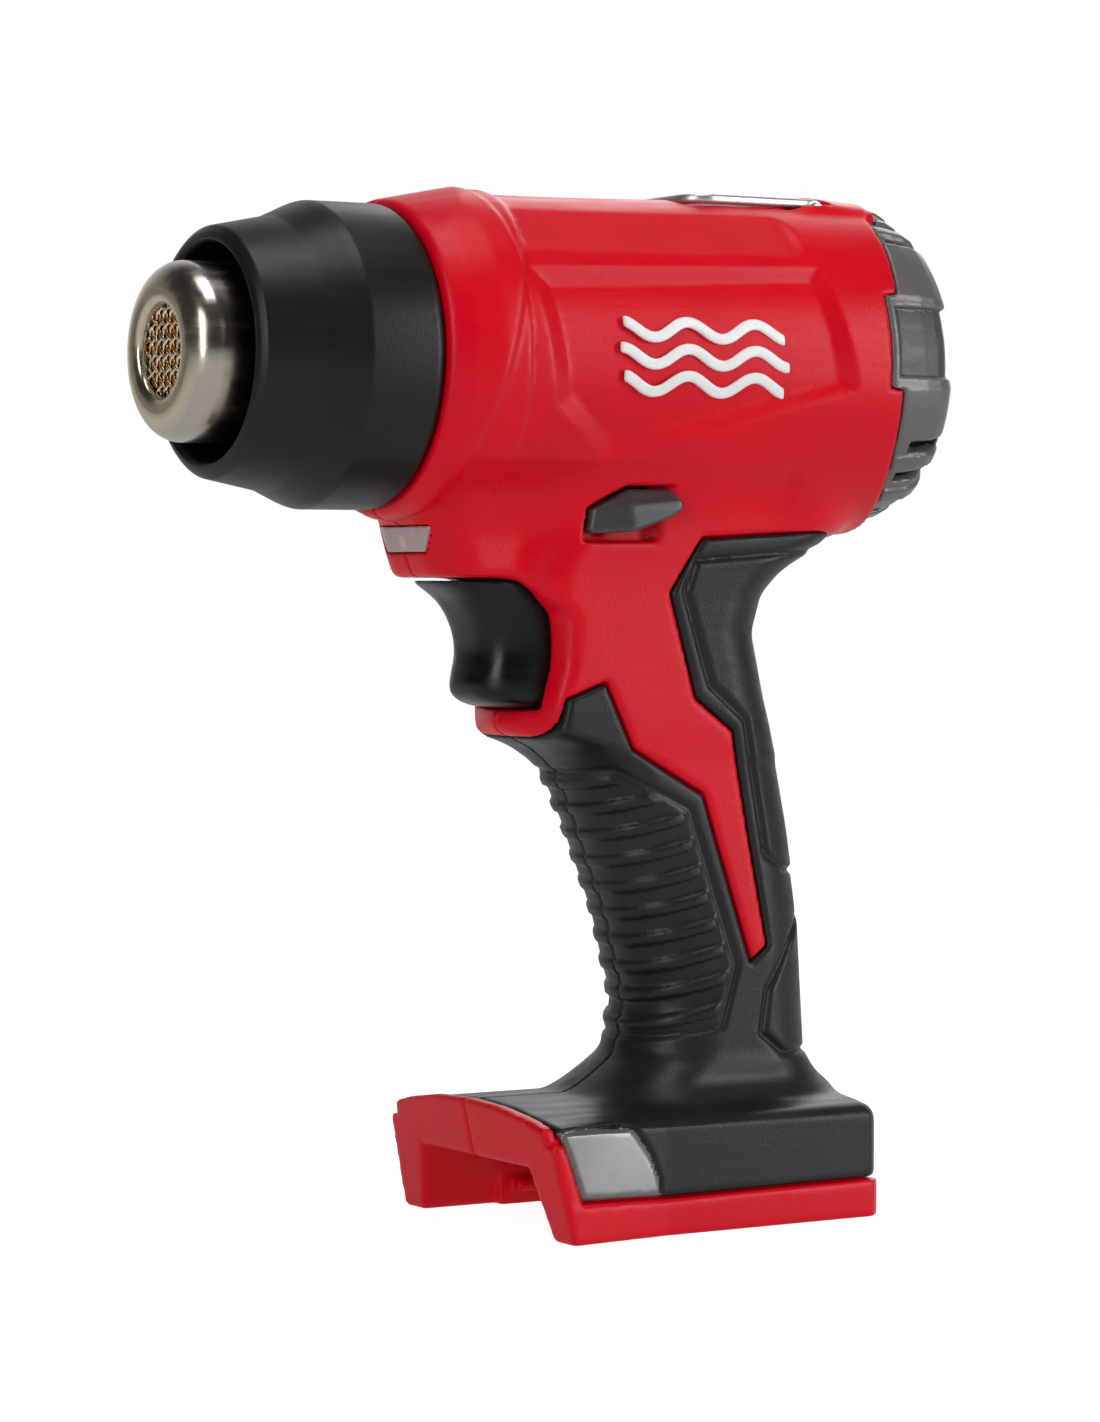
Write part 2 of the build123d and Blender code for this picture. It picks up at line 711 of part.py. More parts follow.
# ---------------------------------------------------------------- trigger and switch
TRIGGER_HALF_WIDTH = 12.0
TRIGGER_REAR = 4.0
TRIGGER_TRAVEL = 6.0
with BuildPart() as trigger:
    with BuildSketch(SIDE):
        with BuildLine():
            Polyline((TRIGGER_REAR, 106.2), (TRIGGER_REAR, 131.4), (-24.0, 131.4))
            Spline((-24.0, 131.4), (-17.8, 126.0), (-15.0, 119.5), (-15.6, 110.4))
            Polyline((-15.6, 110.4), (-14.0, 107.4), (-11.2, 106.2), (TRIGGER_REAR, 106.2))
        make_face()
    extrude(amount=TRIGGER_HALF_WIDTH, both=True)
    # Only the outline's corners in plan are rounded: the finger's face stays as drawn.
    with BuildSketch(Plane.XY.offset(100)) as plan:
        with Locations((0, 15.0)):
            RectangleRounded(2 * TRIGGER_HALF_WIDTH, 78.0, 4.0)
    extrude(amount=40, mode=Mode.INTERSECT)
    add(block((-9.5, -8.0, 108.8), (9.5, 6.0, 128.8)), mode=Mode.SUBTRACT)
keep(trigger, "trigger")

with BuildPart() as switch_plunger:
    with BuildSketch(across(-8.0, STEM_HEIGHT)):
        Circle(2.4)
    extrude(amount=26)
keep(switch_plunger, "switch_plunger")

SWITCH_FRONT = 14.0
with BuildPart() as trigger_spring:
    with BuildSketch(across(-8.0, STEM_HEIGHT)):
        Circle(4.0)
        Circle(3.0, mode=Mode.SUBTRACT)
    extrude(amount=SWITCH_FRONT + 8.0)
keep(trigger_spring, "trigger_spring")

with BuildPart() as switch_body:
    add(block((-9.0, SWITCH_FRONT, 109.0), (9.0, 34.0, 129.0)))
    with BuildSketch(across(SWITCH_FRONT, STEM_HEIGHT)):
        Circle(2.4 + SHAFT_GAP)
    extrude(amount=12.0, mode=Mode.SUBTRACT)
keep(switch_body, "switch_body")

# ---------------------------------------------------------------- lock lever
PADDLE_OUTLINE = [
    (1.8, 143.0),
    (2.2, 140.6),
    (4.2, 139.9),
    (11.0, 141.8),
    (18.8, 144.4),
    (21.3, 146.4),
    (21.3, 148.0),
    (18.6, 150.1),
    (10.6, 150.4),
    (3.4, 146.6),
]
PADDLE_INNER = 17.7
PADDLE_OUTER = 24.2
with BuildPart() as lock_lever:
    add(crossbar(*LEVER_PIVOT, 2.5, -PADDLE_INNER - 1, PADDLE_INNER + 1))
    for side in (1, -1):
        with BuildSketch(SIDE.offset(side * PADDLE_INNER)):
            with BuildLine():
                Polyline(*PADDLE_OUTLINE, close=True)
            make_face()
        extrude(amount=side * (PADDLE_OUTER - PADDLE_INNER))
    # The paddles slope from flush at the front to proud at the back.
    with BuildSketch(Plane.XY.offset(130)):
        for side in (1, -1):
            with BuildLine():
                Polyline((side * 20.4, -1), (side * 20.4, 2.5), (side * PADDLE_OUTER, 15), (side * 30, 15))
                Polyline((side * 30, 15), (side * 30, -1), (side * 20.4, -1))
            make_face()
    extrude(amount=40, mode=Mode.SUBTRACT)
keep(lock_lever, "lock_lever")

# ---------------------------------------------------------------- light
with BuildPart() as led_lens:
    add(chin_body(0))
    add(chin_body(LENS_THICKNESS), mode=Mode.SUBTRACT)
    zone_low = (-LENS_HALF_WIDTH, -50, LENS_LOW + SEAM)
    add(block(zone_low, (LENS_HALF_WIDTH, -26.7, LENS_HIGH - SEAM)), mode=Mode.INTERSECT)
keep(led_lens, "led_lens")

with BuildPart() as led_board:
    add(block((-7.0, -25.8, 135.5), (7.0, -24.4, 144.0)))
    add(block((-1.8, -27.4, 138.0), (1.8, -25.8, 141.2)))
keep(led_board, "led_board")

# ---------------------------------------------------------------- hanging hook
with BuildPart() as hang_hook:
    with BuildSketch(Plane.XY.offset(HOOK_LOW)):
        with BuildLine():
            RadiusArc((HOOK_ARM_OUTER, HOOK_FRONT + 6), (HOOK_ARM_OUTER - 6, HOOK_FRONT), 6.0)
            Line((HOOK_ARM_OUTER - 6, HOOK_FRONT), (6 - HOOK_ARM_OUTER, HOOK_FRONT))
            RadiusArc((6 - HOOK_ARM_OUTER, HOOK_FRONT), (-HOOK_ARM_OUTER, HOOK_FRONT + 6), 6.0)
            Polyline(
                (-HOOK_ARM_OUTER, HOOK_FRONT + 6),
                (-HOOK_ARM_OUTER, HOOK_PIVOT[0]),
                (HOOK_ARM_OUTER, HOOK_PIVOT[0]),
                (HOOK_ARM_OUTER, HOOK_FRONT + 6),
            )
        make_face()
        inner_front = HOOK_FRONT + HOOK_ARM_OUTER - HOOK_ARM_INNER
        with Locations((0, (inner_front + 80) / 2)):
            Rectangle(2 * HOOK_ARM_INNER, 80 - inner_front, mode=Mode.SUBTRACT)
    extrude(amount=HOOK_HIGH - HOOK_LOW)
    for side in (1, -1):
        edges = sorted((side * HOOK_ARM_INNER, side * HOOK_ARM_OUTER))
        add(crossbar(*HOOK_PIVOT, EYE_RADIUS, *edges))
    add(crossbar(*HOOK_PIVOT, PIN_RADIUS + SHAFT_GAP, -20, 20), mode=Mode.SUBTRACT)
keep(hang_hook, "hang_hook")

with BuildPart() as hook_pin:
    add(crossbar(*HOOK_PIVOT, PIN_RADIUS, -12.8, 12.8))
keep(hook_pin, "hook_pin")

# ---------------------------------------------------------------- electronics and foot
with BuildPart() as control_board:
    add(block((-9.0, 26.0, 52.0), (-7.4, 40.5, 90.0)))
keep(control_board, "control_board")

with BuildPart() as heatsink:
    add(block((-7.3, 27.0, 61.0), (-5.8, 40.2, 86.0)))
    for y in (27.0, 31.0, 35.0, 39.0):
        add(block((-5.9, y, 61.0), (-1.0, y + 1.2, 86.0)))
keep(heatsink, "heatsink")

with BuildPart() as capacitor:
    with BuildSketch(SIDE.offset(-7.3)):
        with Locations((34.0, 55.0)):
            Circle(4.0)
    extrude(amount=8.0)
keep(capacitor, "capacitor")

with BuildPart() as terminal_block:
    add(block((-14.0, 30.0, 7.5), (14.0, 50.0, 17.0)))
    add(block((-17.0, 28.0, 17.0), (17.0, 52.0, 19.6)))
keep(terminal_block, "terminal_block")

with BuildPart() as terminal_blades:
    for x in (-9.0, -3.0, 3.0, 9.0):
        add(block((x - 0.5, 13.0, 8.0), (x + 0.5, 30.0, 13.5)))
keep(terminal_blades, "terminal_blades")


def lead(start, end, radius):
    """Straight insulated wire between two points."""
    with BuildPart() as wire:
        direction = Vector(*end) - Vector(*start)
        with BuildSketch(Plane(origin=start, z_dir=direction)):
            Circle(radius)
        extrude(amount=direction.length)
    return wire.part


with BuildPart() as battery_leads:
    for x in (2.5, 7.0):
        add(lead((x, 49.0, 21.0), (x, 28.5, 107.5), 1.3))
keep(battery_leads, "battery_leads")

with BuildPart() as heater_leads:
    for x in (-3.5, 3.5):
        add(lead((x, 26.0, 130.5), (x, 26.0, 145.0), 1.2))
keep(heater_leads, "heater_leads")

# ---------------------------------------------------------------- screws and side emblems
with BuildPart() as housing_screws:
    for y, z, seat in SCREW_PLACES:
        add(crossbar(y, z, 2.8, 1.7 - seat - 2.2, 1.5 - seat))
        add(crossbar(y, z, 1.4, 1.5 - seat, seat - 4))
keep(housing_screws, "housing_screws")

# Three rising waves of warm air on each flat side panel.
WAVE_WIDTH = 2.2
WAVE_HEIGHT = 1.6
WAVE_FRONT = 1.0
WAVE_STEP = 8.0  # from a crest to the next trough
WAVE_POINTS = 6
ROW_PITCH = 5.4
EMBLEM_DEPTH = 0.8


def emblem(side):
    """Raised waves on one side panel, side is 1 or -1."""
    with BuildPart() as waves:
        with BuildSketch(SIDE.offset(side * FLAT_SIDE)):
            for row in (-1, 0, 1):
                middle = AXIS_HEIGHT + ROW_PITCH * row
                crest = []
                for step in range(WAVE_POINTS):
                    crest.append((WAVE_FRONT + WAVE_STEP * step, middle + WAVE_HEIGHT * (-1) ** step))
                upper = [(y, z + WAVE_WIDTH / 2) for y, z in crest]
                lower = [(y, z - WAVE_WIDTH / 2) for y, z in crest]
                with BuildLine():
                    Spline(*upper)
                    Line(upper[-1], lower[-1])
                    Spline(*lower[::-1])
                    Line(lower[0], upper[0])
                make_face()
        extrude(amount=side * EMBLEM_DEPTH)
    return waves.part


with BuildPart() as left_emblem:
    add(emblem(1))
keep(left_emblem, "left_emblem")

with BuildPart() as right_emblem:
    add(emblem(-1))
keep(right_emblem, "right_emblem")

print(len(pieces), "pieces written")
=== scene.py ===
"""Cordless heat gun: the finished look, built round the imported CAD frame.

Shapes are written in millimetres as signed distances on a grid, negative inside, and turned
into closed meshes. The nozzle points along -Y, the tool's left side is +X and +Z is up.
"""

import math

import bmesh
import bpy
import numpy as np
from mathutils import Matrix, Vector


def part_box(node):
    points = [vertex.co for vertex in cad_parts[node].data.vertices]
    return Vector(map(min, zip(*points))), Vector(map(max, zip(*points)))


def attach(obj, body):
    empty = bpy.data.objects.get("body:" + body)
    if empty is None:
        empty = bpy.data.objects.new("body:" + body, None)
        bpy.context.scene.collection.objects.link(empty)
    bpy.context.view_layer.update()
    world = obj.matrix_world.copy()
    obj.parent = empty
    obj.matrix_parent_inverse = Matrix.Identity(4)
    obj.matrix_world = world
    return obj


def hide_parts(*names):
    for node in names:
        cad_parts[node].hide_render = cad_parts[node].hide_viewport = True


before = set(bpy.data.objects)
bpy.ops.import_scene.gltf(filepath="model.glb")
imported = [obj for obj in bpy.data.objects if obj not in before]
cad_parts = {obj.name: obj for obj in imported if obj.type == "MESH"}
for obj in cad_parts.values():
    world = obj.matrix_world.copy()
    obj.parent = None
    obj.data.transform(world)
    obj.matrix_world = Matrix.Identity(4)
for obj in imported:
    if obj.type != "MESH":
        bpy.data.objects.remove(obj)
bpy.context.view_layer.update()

MM = 0.001
COARSE = 1.0


# -------- distance toolkit
class Grid:
    """Sample points from low to high, step apart; x, y and z broadcast against each other."""

    def __init__(self, low, high, step):
        self.step = step * COARSE
        self.low = np.array(low, float)
        counts = np.ceil((np.array(high, float) - self.low) / self.step).astype(int) + 1
        lines = [self.low[i] + self.step * np.arange(counts[i]) for i in range(3)]
        self.x = lines[0].astype(np.float32)[:, None, None]
        self.y = lines[1].astype(np.float32)[None, :, None]
        self.z = lines[2].astype(np.float32)[None, None, :]
        self.across = np.abs(self.x)


def join(a, b, k=0.0):
    """Union, with a fillet about k wide where the two surfaces meet."""
    if not k:
        return np.minimum(a, b)
    h = np.maximum(k - np.abs(a - b), 0.0) / k
    return np.minimum(a, b) - h * h * k * 0.25


def both(a, b, k=0.0):
    """Intersection, with an edge rounded about k wide."""
    return -join(-a, -b, k)


def cut(a, b, k=0.0):
    """What is left of a when b is taken away."""
    return -join(-a, b, k)


def ramp(value, start, end):
    """0 before start, 1 after end, smooth between."""
    t = np.clip((value - start) / (end - start), 0.0, 1.0)
    return t * t * (3 - 2 * t)


def polygon(points, u, v):
    """Signed distance from (u, v) to a closed outline."""
    best = np.float32(1e9)
    inside = np.zeros(np.broadcast(u, v).shape, bool)
    for (au, av), (bu, bv) in zip(points, points[1:] + points[:1]):
        eu, ev = bu - au, bv - av
        t = np.clip(((u - au) * eu + (v - av) * ev) / (eu * eu + ev * ev), 0, 1)
        best = np.minimum(best, (u - au - eu * t) ** 2 + (v - av - ev * t) ** 2)
        if ev:
            inside ^= ((av > v) != (bv > v)) & (u < au + eu * (v - av) / ev)
    return (np.where(inside, -1.0, 1.0) * np.sqrt(best)).astype(np.float32)


def mirrored(points):
    """A closed outline from its right-hand side, top to bottom, and the mirror image of that."""
    return points + [(-u, v) for u, v in points[::-1]]


def cuboid(g, low, high, radius=0.0, x=None):
    """Box between two corners, with rounded edges. x stands in for the grid's own x."""
    gaps = []
    for values, a, b in zip((g.x if x is None else x, g.y, g.z), low, high):
        gaps.append(np.abs(values - (a + b) / 2) - (b - a) / 2 + radius)
    outside = np.sqrt(sum(np.maximum(gap, 0) ** 2 for gap in gaps))
    return outside + np.minimum(np.maximum(np.maximum(gaps[0], gaps[1]), gaps[2]), 0) - radius


def pair(g, low, high, radius=0.0):
    """The box between two corners on x above 0, and its mirror image."""
    return cuboid(g, low, high, radius, g.across)


def square_corner(over_x, over_y):
    """Distance from a square corner, inside where both values are below 0."""
    outside = np.hypot(np.maximum(over_x, 0), np.maximum(over_y, 0))
    return outside + np.minimum(np.maximum(over_x, over_y), 0)


def read_off(rows, at):
    """Value at a place, from a table of (place, value) rows."""
    return np.interp(at, [place for place, _ in rows], [value for _, value in rows])


def from_line(g, y, z):
    """Distance from the line along X through (y, z)."""
    return np.hypot(g.y - y, g.z - z)


def crossbar(g, y, z, radius, reach):
    """Round bar along X through (y, z), from the middle out to reach on both sides."""
    return both(from_line(g, y, z) - radius, g.across - reach)


CORNERS = [(i & 1, (i >> 1) & 1, (i >> 2) & 1) for i in range(8)]


def sample(field, points):
    """Value and gradient of a grid field at points given in voxels."""
    top = np.array(field.shape) - 2
    base = np.clip(np.floor(points).astype(int), 0, top)
    t = points - base
    value = np.zeros(len(points))
    gradient = np.zeros((len(points), 3))
    for corner in CORNERS:
        f = field[base[:, 0] + corner[0], base[:, 1] + corner[1], base[:, 2] + corner[2]]
        w = [t[:, a] if corner[a] else 1 - t[:, a] for a in range(3)]
        value += f * w[0] * w[1] * w[2]
        gradient[:, 0] += f * (1 if corner[0] else -1) * w[1] * w[2]
        gradient[:, 1] += f * (1 if corner[1] else -1) * w[0] * w[2]
        gradient[:, 2] += f * (1 if corner[2] else -1) * w[0] * w[1]
    return value, gradient


def surface(field, g):
    """Closed quad mesh of the field's zero surface: (points in millimetres, quads)."""
    field = np.ascontiguousarray(field, np.float32)
    for axis in range(3):
        edge = [slice(None)] * 3
        for end in (0, -1):
            edge[axis] = end
            field[tuple(edge)] = np.maximum(field[tuple(edge)], 0.01)
    sign = field < 0
    cells = tuple(n - 1 for n in field.shape)
    count = np.zeros(cells, np.int8)
    for i, j, k in CORNERS:
        count += sign[i : i + cells[0], j : j + cells[1], k : k + cells[2]]
    active = (count > 0) & (count < 8)
    places = np.argwhere(active)
    index = np.full(cells, -1, np.int32)
    index[active] = np.arange(len(places))
    values = [field[places[:, 0] + i, places[:, 1] + j, places[:, 2] + k] for i, j, k in CORNERS]
    total = np.zeros((len(places), 3))
    hits = np.zeros(len(places))
    for a, corner in enumerate(CORNERS):
        for axis in range(3):
            if corner[axis]:
                continue
            fa, fb = values[a], values[a + (1 << axis)]
            hit = (fa < 0) != (fb < 0)
            point = np.tile(np.array(corner, float), (len(places), 1))
            point[:, axis] = np.where(hit, fa / np.where(hit, fa - fb, 1), 0)
            total += point * hit[:, None]
            hits += hit
    points = places + total / hits[:, None]
    quads = []
    for axis in range(3):
        u, v = (axis + 1) % 3, (axis + 2) % 3
        low = [slice(1, -1)] * 3
        high = [slice(1, -1)] * 3
        low[axis] = slice(0, -1)
        high[axis] = slice(1, None)
        inside = sign[tuple(low)]
        change = inside != sign[tuple(high)]
        node = np.argwhere(change) + [0 if a == axis else 1 for a in range(3)]
        ring = []
        for du, dv in ((0, 0), (1, 0), (1, 1), (0, 1)):
            cell = node.copy()
            cell[:, u] -= du
            cell[:, v] -= dv
            ring.append(index[cell[:, 0], cell[:, 1], cell[:, 2]])
        quad = np.stack(ring, 1)
        outward = inside[change]
        quad[~outward] = quad[~outward][:, ::-1]
        quads.append(quad)
    quads = np.concatenate(quads)
    # Spread the points evenly, then bring them back onto the surface, each within its own cell.
    for _ in range(2):
        sums = np.zeros_like(points)
        near = np.zeros(len(points))
        for a in range(4):
            b = (a + 1) % 4
            for ends in ((quads[:, a], quads[:, b]), (quads[:, b], quads[:, a])):
                near += np.bincount(ends[0], minlength=len(points))
                for axis in range(3):
                    sums[:, axis] += np.bincount(ends[0], points[ends[1], axis], len(points))
        goal = points + 0.4 * (sums / np.maximum(near, 1)[:, None] - points)
        for _ in range(2):
            value, slope = sample(field, goal)
            steep = np.maximum((slope**2).sum(1), 1e-3)
            move = slope * (value / steep)[:, None]
            goal -= np.clip(move, -0.5, 0.5)
        points = places + np.clip(goal - places, 0.02, 0.98)
    return points * g.step + g.low, quads


def build(name, points, faces, body, stands_for, slot, materials, pick=None, flat_angle=None):
    """Mesh object from points in millimetres. pick gives each face's material from its middle."""
    mesh = bpy.data.meshes.new(name)
    rows = faces.tolist() if isinstance(faces, np.ndarray) else faces
    mesh.from_pydata((np.asarray(points) * MM).tolist(), [], rows)
    for made in materials:
        mesh.materials.append(made)
    mesh.polygons.foreach_set("use_smooth", np.ones(len(mesh.polygons), bool))
    if pick is not None:
        middles = points[faces].mean(1)
        mesh.polygons.foreach_set("material_index", pick(middles).astype(np.int32))
    mesh.update()
    piece = bpy.data.objects.new(name, mesh)
    bpy.context.scene.collection.objects.link(piece)
    if flat_angle is not None:
        sharp_edges(mesh, flat_angle)
    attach(piece, body)
    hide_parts(*stands_for)


def sharp_edges(mesh, degrees):
    """Mark every edge that turns by more than this as sharp."""
    work = bmesh.new()
    work.from_mesh(mesh)
    limit = math.radians(degrees)
    for edge in work.edges:
        if len(edge.link_faces) == 2:
            edge.smooth = edge.calc_face_angle() < limit
    work.to_mesh(mesh)
    work.free()


def flip(points, quads):
    """Mirror image across the parting plane."""
    return points * [-1, 1, 1], quads[:, ::-1]


# -------- finishes
def noise(made, scale, detail, stretch=(1, 1, 1)):
    """Noise in the object's own coordinates."""
    nodes = made.node_tree.nodes
    links = made.node_tree.links
    place = nodes.new("ShaderNodeTexCoord")
    mapping = nodes.new("ShaderNodeMapping")
    mapping.inputs["Scale"].default_value = stretch
    links.new(place.outputs["Object"], mapping.inputs["Vector"])
    texture = nodes.new("ShaderNodeTexNoise")
    texture.inputs["Scale"].default_value = scale
    texture.inputs["Detail"].default_value = detail
    links.new(mapping.outputs["Vector"], texture.inputs["Vector"])
    return texture.outputs["Fac"]


def remap(made, value, to_low, to_high, low=0.0, high=1.0):
    """Carry a value over from low...high to to_low...to_high."""
    node = made.node_tree.nodes.new("ShaderNodeMapRange")
    ends = {"From Min": low, "From Max": high, "To Min": to_low, "To Max": to_high}
    for socket, number in ends.items():
        node.inputs[socket].default_value = number
    made.node_tree.links.new(value, node.inputs["Value"])
    return node.outputs["Result"]


def tint(made, value, stops):
    """Colour from a value, through stops given as (value, colour)."""
    node = made.node_tree.nodes.new("ShaderNodeValToRGB")
    elements = node.color_ramp.elements
    while len(elements) < len(stops):
        elements.new(0.5)
    for element, (position, color) in zip(elements, stops):
        element.position = position
        element.color = (*color, 1)
    made.node_tree.links.new(value, node.inputs["Fac"])
    return node.outputs["Color"]


def mix(made, a, b, share, blend_type="MIX"):
    """Colour a with a share of colour b blended in."""
    node = made.node_tree.nodes.new("ShaderNodeMix")
    node.data_type = "RGBA"
    node.blend_type = blend_type
    node.inputs["Factor"].default_value = share
    made.node_tree.links.new(a, node.inputs["A"])
    made.node_tree.links.new(b, node.inputs["B"])
    return node.outputs["Result"]


BLOTCH_SCALE = 45.0
SCUFF_SCALE = 260.0
SPECK_SHARE = 0.25
BUMP_DISTANCE = 0.0002


def finish(name, color, rough, metal=0.0, vary=0.06, grain=1800.0, bump=0.03, spread=0.08, **shader):
    """Procedural finish: fine grain, soft blotches and faint scuffs over one base colour."""
    made = bpy.data.materials.new(name)
    made.use_nodes = True
    links = made.node_tree.links
    surface_node = made.node_tree.nodes["Principled BSDF"]
    fine = noise(made, grain, 3.0)
    scuff = noise(made, SCUFF_SCALE, 5.0, shader.pop("stretch", (1.0, 0.25, 1.6)))
    dark = [c * (1 - vary) for c in color]
    light = [min(1, c * (1 + vary)) for c in color]
    tones = tint(made, noise(made, BLOTCH_SCALE, 3.0), [(0.3, dark), (0.7, light)])
    speck = mix(made, tones, remap(made, fine, 0.7, 1.25), SPECK_SHARE, "MULTIPLY")
    links.new(speck, surface_node.inputs["Base Color"])
    dull = remap(made, scuff, max(0.02, rough - spread), min(1.0, rough + spread), 0.35, 0.7)
    links.new(dull, surface_node.inputs["Roughness"])
    relief = made.node_tree.nodes.new("ShaderNodeBump")
    relief.inputs["Strength"].default_value = bump
    relief.inputs["Distance"].default_value = BUMP_DISTANCE
    links.new(fine, relief.inputs["Height"])
    links.new(relief.outputs["Normal"], surface_node.inputs["Normal"])
    surface_node.inputs["Metallic"].default_value = metal
    for socket, value in shader.items():
        surface_node.inputs[socket].default_value = value
    return made


def along_y(made, stops, strength=0.85):
    """Tint a finish along the barrel: stops are (y in millimetres, colour)."""
    nodes = made.node_tree.nodes
    links = made.node_tree.links
    base = nodes["Principled BSDF"].inputs["Base Color"]
    place = nodes.new("ShaderNodeTexCoord")
    axes = nodes.new("ShaderNodeSeparateXYZ")
    links.new(place.outputs["Object"], axes.inputs["Vector"])
    start, end = stops[0][0], stops[-1][0]
    way = remap(made, axes.outputs["Y"], 0.0, 1.0, start * MM, end * MM)
    tones = tint(made, way, [((y - start) / (end - start), color) for y, color in stops])
    links.new(mix(made, base.links[0].from_socket, tones, strength), base)
    return made


RED_SHEEN = {"Specular IOR Level": 0.2}
BLACK_SHEEN = {"Specular IOR Level": 0.3}
PATCH_COAT = {"Coat Weight": 0.8, "Coat IOR": 1.7, "Coat Roughness": 0.22}
LENS_COAT = {"Coat Weight": 0.5}
red = finish("red_nylon", (0.70, 0.001, 0.014), 0.36, grain=2600, bump=0.2, spread=0.05, **RED_SHEEN)
rubber = finish(
    "black_rubber_grip", (0.016, 0.0155, 0.015), 0.4,
    vary=0.2, grain=2200, bump=0.2, spread=0.06, **BLACK_SHEEN,
)
rubber_patch = finish(
    "polished_rubber", (0.12, 0.117, 0.114), 0.26,
    vary=0.05, grain=900, bump=0.0, spread=0.02, **PATCH_COAT,
)
shroud_black = finish(
    "shroud_nylon", (0.008, 0.0075, 0.007), 0.4,
    vary=0.2, grain=1500, bump=0.12, spread=0.03, **BLACK_SHEEN,
)
cap_grey = finish("cap_nylon", (0.13, 0.125, 0.123), 0.3, vary=0.12, grain=2400, bump=0.1, spread=0.06)
cap_panel = finish("cap_side_panel", (0.062, 0.058, 0.06), 0.42, vary=0.1, grain=1600, bump=0.3)
# Painted shade: behind the gold band at the mouth, which is the steel's own tint, the steel is darkened
# along the nozzle, most from y -77 to -60, in place of the dark studio it would reflect.
nozzle_steel = along_y(
    finish("nozzle_stainless", (0.66, 0.63, 0.58), 0.24, 1.0, vary=0.08, grain=600, bump=0.02, spread=0.06),
    [
        (-85.0, (0.70, 0.60, 0.42)),
        (-83.6, (0.44, 0.40, 0.34)),
        (-80.0, (0.46, 0.42, 0.36)),
        (-77.0, (0.30, 0.26, 0.20)),
        (-71.0, (0.16, 0.12, 0.09)),
        (-60.0, (0.20, 0.17, 0.14)),
    ],
)
trigger_black = finish("trigger_nylon", (0.005, 0.005, 0.005), 0.3, vary=0.2, bump=0.05, **BLACK_SHEEN)
lever_grey = finish("lever_nylon", (0.05, 0.047, 0.047), 0.32, vary=0.2, grain=1500, bump=0.12)
hook_steel = finish("hook_zinc", (0.60, 0.61, 0.60), 0.36, 0.85, vary=0.05, grain=700, bump=0.04)
white = finish("white_paint", (0.86, 0.86, 0.86), 0.3, vary=0.03, grain=1500, bump=0.04)
lens = finish("lens_frosted", (0.42, 0.30, 0.30), 0.25, vary=0.04, grain=300, bump=0.0, **LENS_COAT)
glow = finish("lens_glow", (0.58, 0.42, 0.37), 0.25, vary=0.04, grain=300, bump=0.0, **LENS_COAT)

# CAD pieces that keep their own mesh, and what each is made of.
zinc = finish("zinc_plate", (0.58, 0.58, 0.56), 0.32, 1.0, vary=0.1, grain=900, bump=0.05)
black_oxide = finish("black_oxide_screw", (0.04, 0.04, 0.042), 0.35, 0.9, vary=0.2, grain=900, bump=0.08)
mica = finish("mica_sheet", (0.56, 0.47, 0.33), 0.35, vary=0.3, grain=350, bump=0.2)
ceramic = finish("ceramic", (0.78, 0.75, 0.69), 0.6, vary=0.08, grain=1400, bump=0.2)
glass_wool = finish("glass_fibre", (0.80, 0.78, 0.70), 0.85, vary=0.1, grain=700, bump=0.8)
nichrome = finish("nichrome", (0.30, 0.27, 0.24), 0.35, 1.0, vary=0.35, grain=900, bump=0.1)
duct = finish("duct_nylon", (0.05, 0.05, 0.053), 0.45, vary=0.15, grain=1600, bump=0.1)
fan = finish("fan_nylon", (0.03, 0.031, 0.034), 0.35, vary=0.15, grain=1600, bump=0.08)
can = finish("drawn_steel", (0.52, 0.52, 0.54), 0.3, 1.0, vary=0.1, grain=500, bump=0.04)
ferrite = finish("ferrite", (0.06, 0.06, 0.065), 0.7, vary=0.25, grain=1100, bump=0.4)
laminations = finish(
    "laminations", (0.42, 0.30, 0.2), 0.4, 0.9, vary=0.3, grain=900, bump=0.2, stretch=(0.1, 6, 0.1)
)
board = finish("circuit_board", (0.015, 0.11, 0.045), 0.3, vary=0.3, grain=500, bump=0.15)
aluminium = finish("aluminium", (0.68, 0.68, 0.70), 0.35, 1.0, vary=0.08, grain=700, bump=0.06)
sleeve = finish("capacitor_sleeve", (0.03, 0.035, 0.12), 0.3, vary=0.15, grain=900, bump=0.05)
switch_nylon = finish("switch_nylon", (0.035, 0.035, 0.036), 0.4, vary=0.15, grain=1600, bump=0.1)
brass = finish("tinned_brass", (0.72, 0.55, 0.26), 0.28, 1.0, vary=0.12, grain=800, bump=0.05)
insulation = finish("wire_insulation", (0.42, 0.015, 0.012), 0.4, vary=0.15, grain=1200, bump=0.1)

CAD_FINISHES = [
    (zinc, ["nozzle_retainer", "retainer_screws", "trigger_spring", "hook_pin"]),
    (mica, ["mica_cross", "mica_tube"]),
    (nichrome, ["heater_coil"]),
    (glass_wool, ["insulation_sleeve"]),
    (ceramic, ["heater_holder", "heater_terminals"]),
    (can, ["thermal_cutoff", "motor_can", "motor_shaft", "intake_screen"]),
    (duct, ["air_duct", "motor_cradle", "motor_endcap"]),
    (ferrite, ["motor_magnets"]),
    (laminations, ["motor_rotor"]),
    (fan, ["fan_impeller"]),
    (switch_nylon, ["switch_plunger", "switch_body", "terminal_block"]),
    (board, ["led_board", "control_board"]),
    (aluminium, ["heatsink"]),
    (sleeve, ["capacitor"]),
    (brass, ["terminal_blades"]),
    (insulation, ["battery_leads", "heater_leads"]),
    (black_oxide, ["housing_screws"]),
]
for made, names in CAD_FINISHES:
    for node in names:
        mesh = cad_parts[node].data
        mesh.materials.clear()
        mesh.materials.append(made)

# -------- places taken from the frame
low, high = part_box("nozzle")
AXIS = (low.z + high.z) / 2 / MM  # height of the barrel's axis
TIP = low.y / MM
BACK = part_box("intake_cap")[1].y / MM

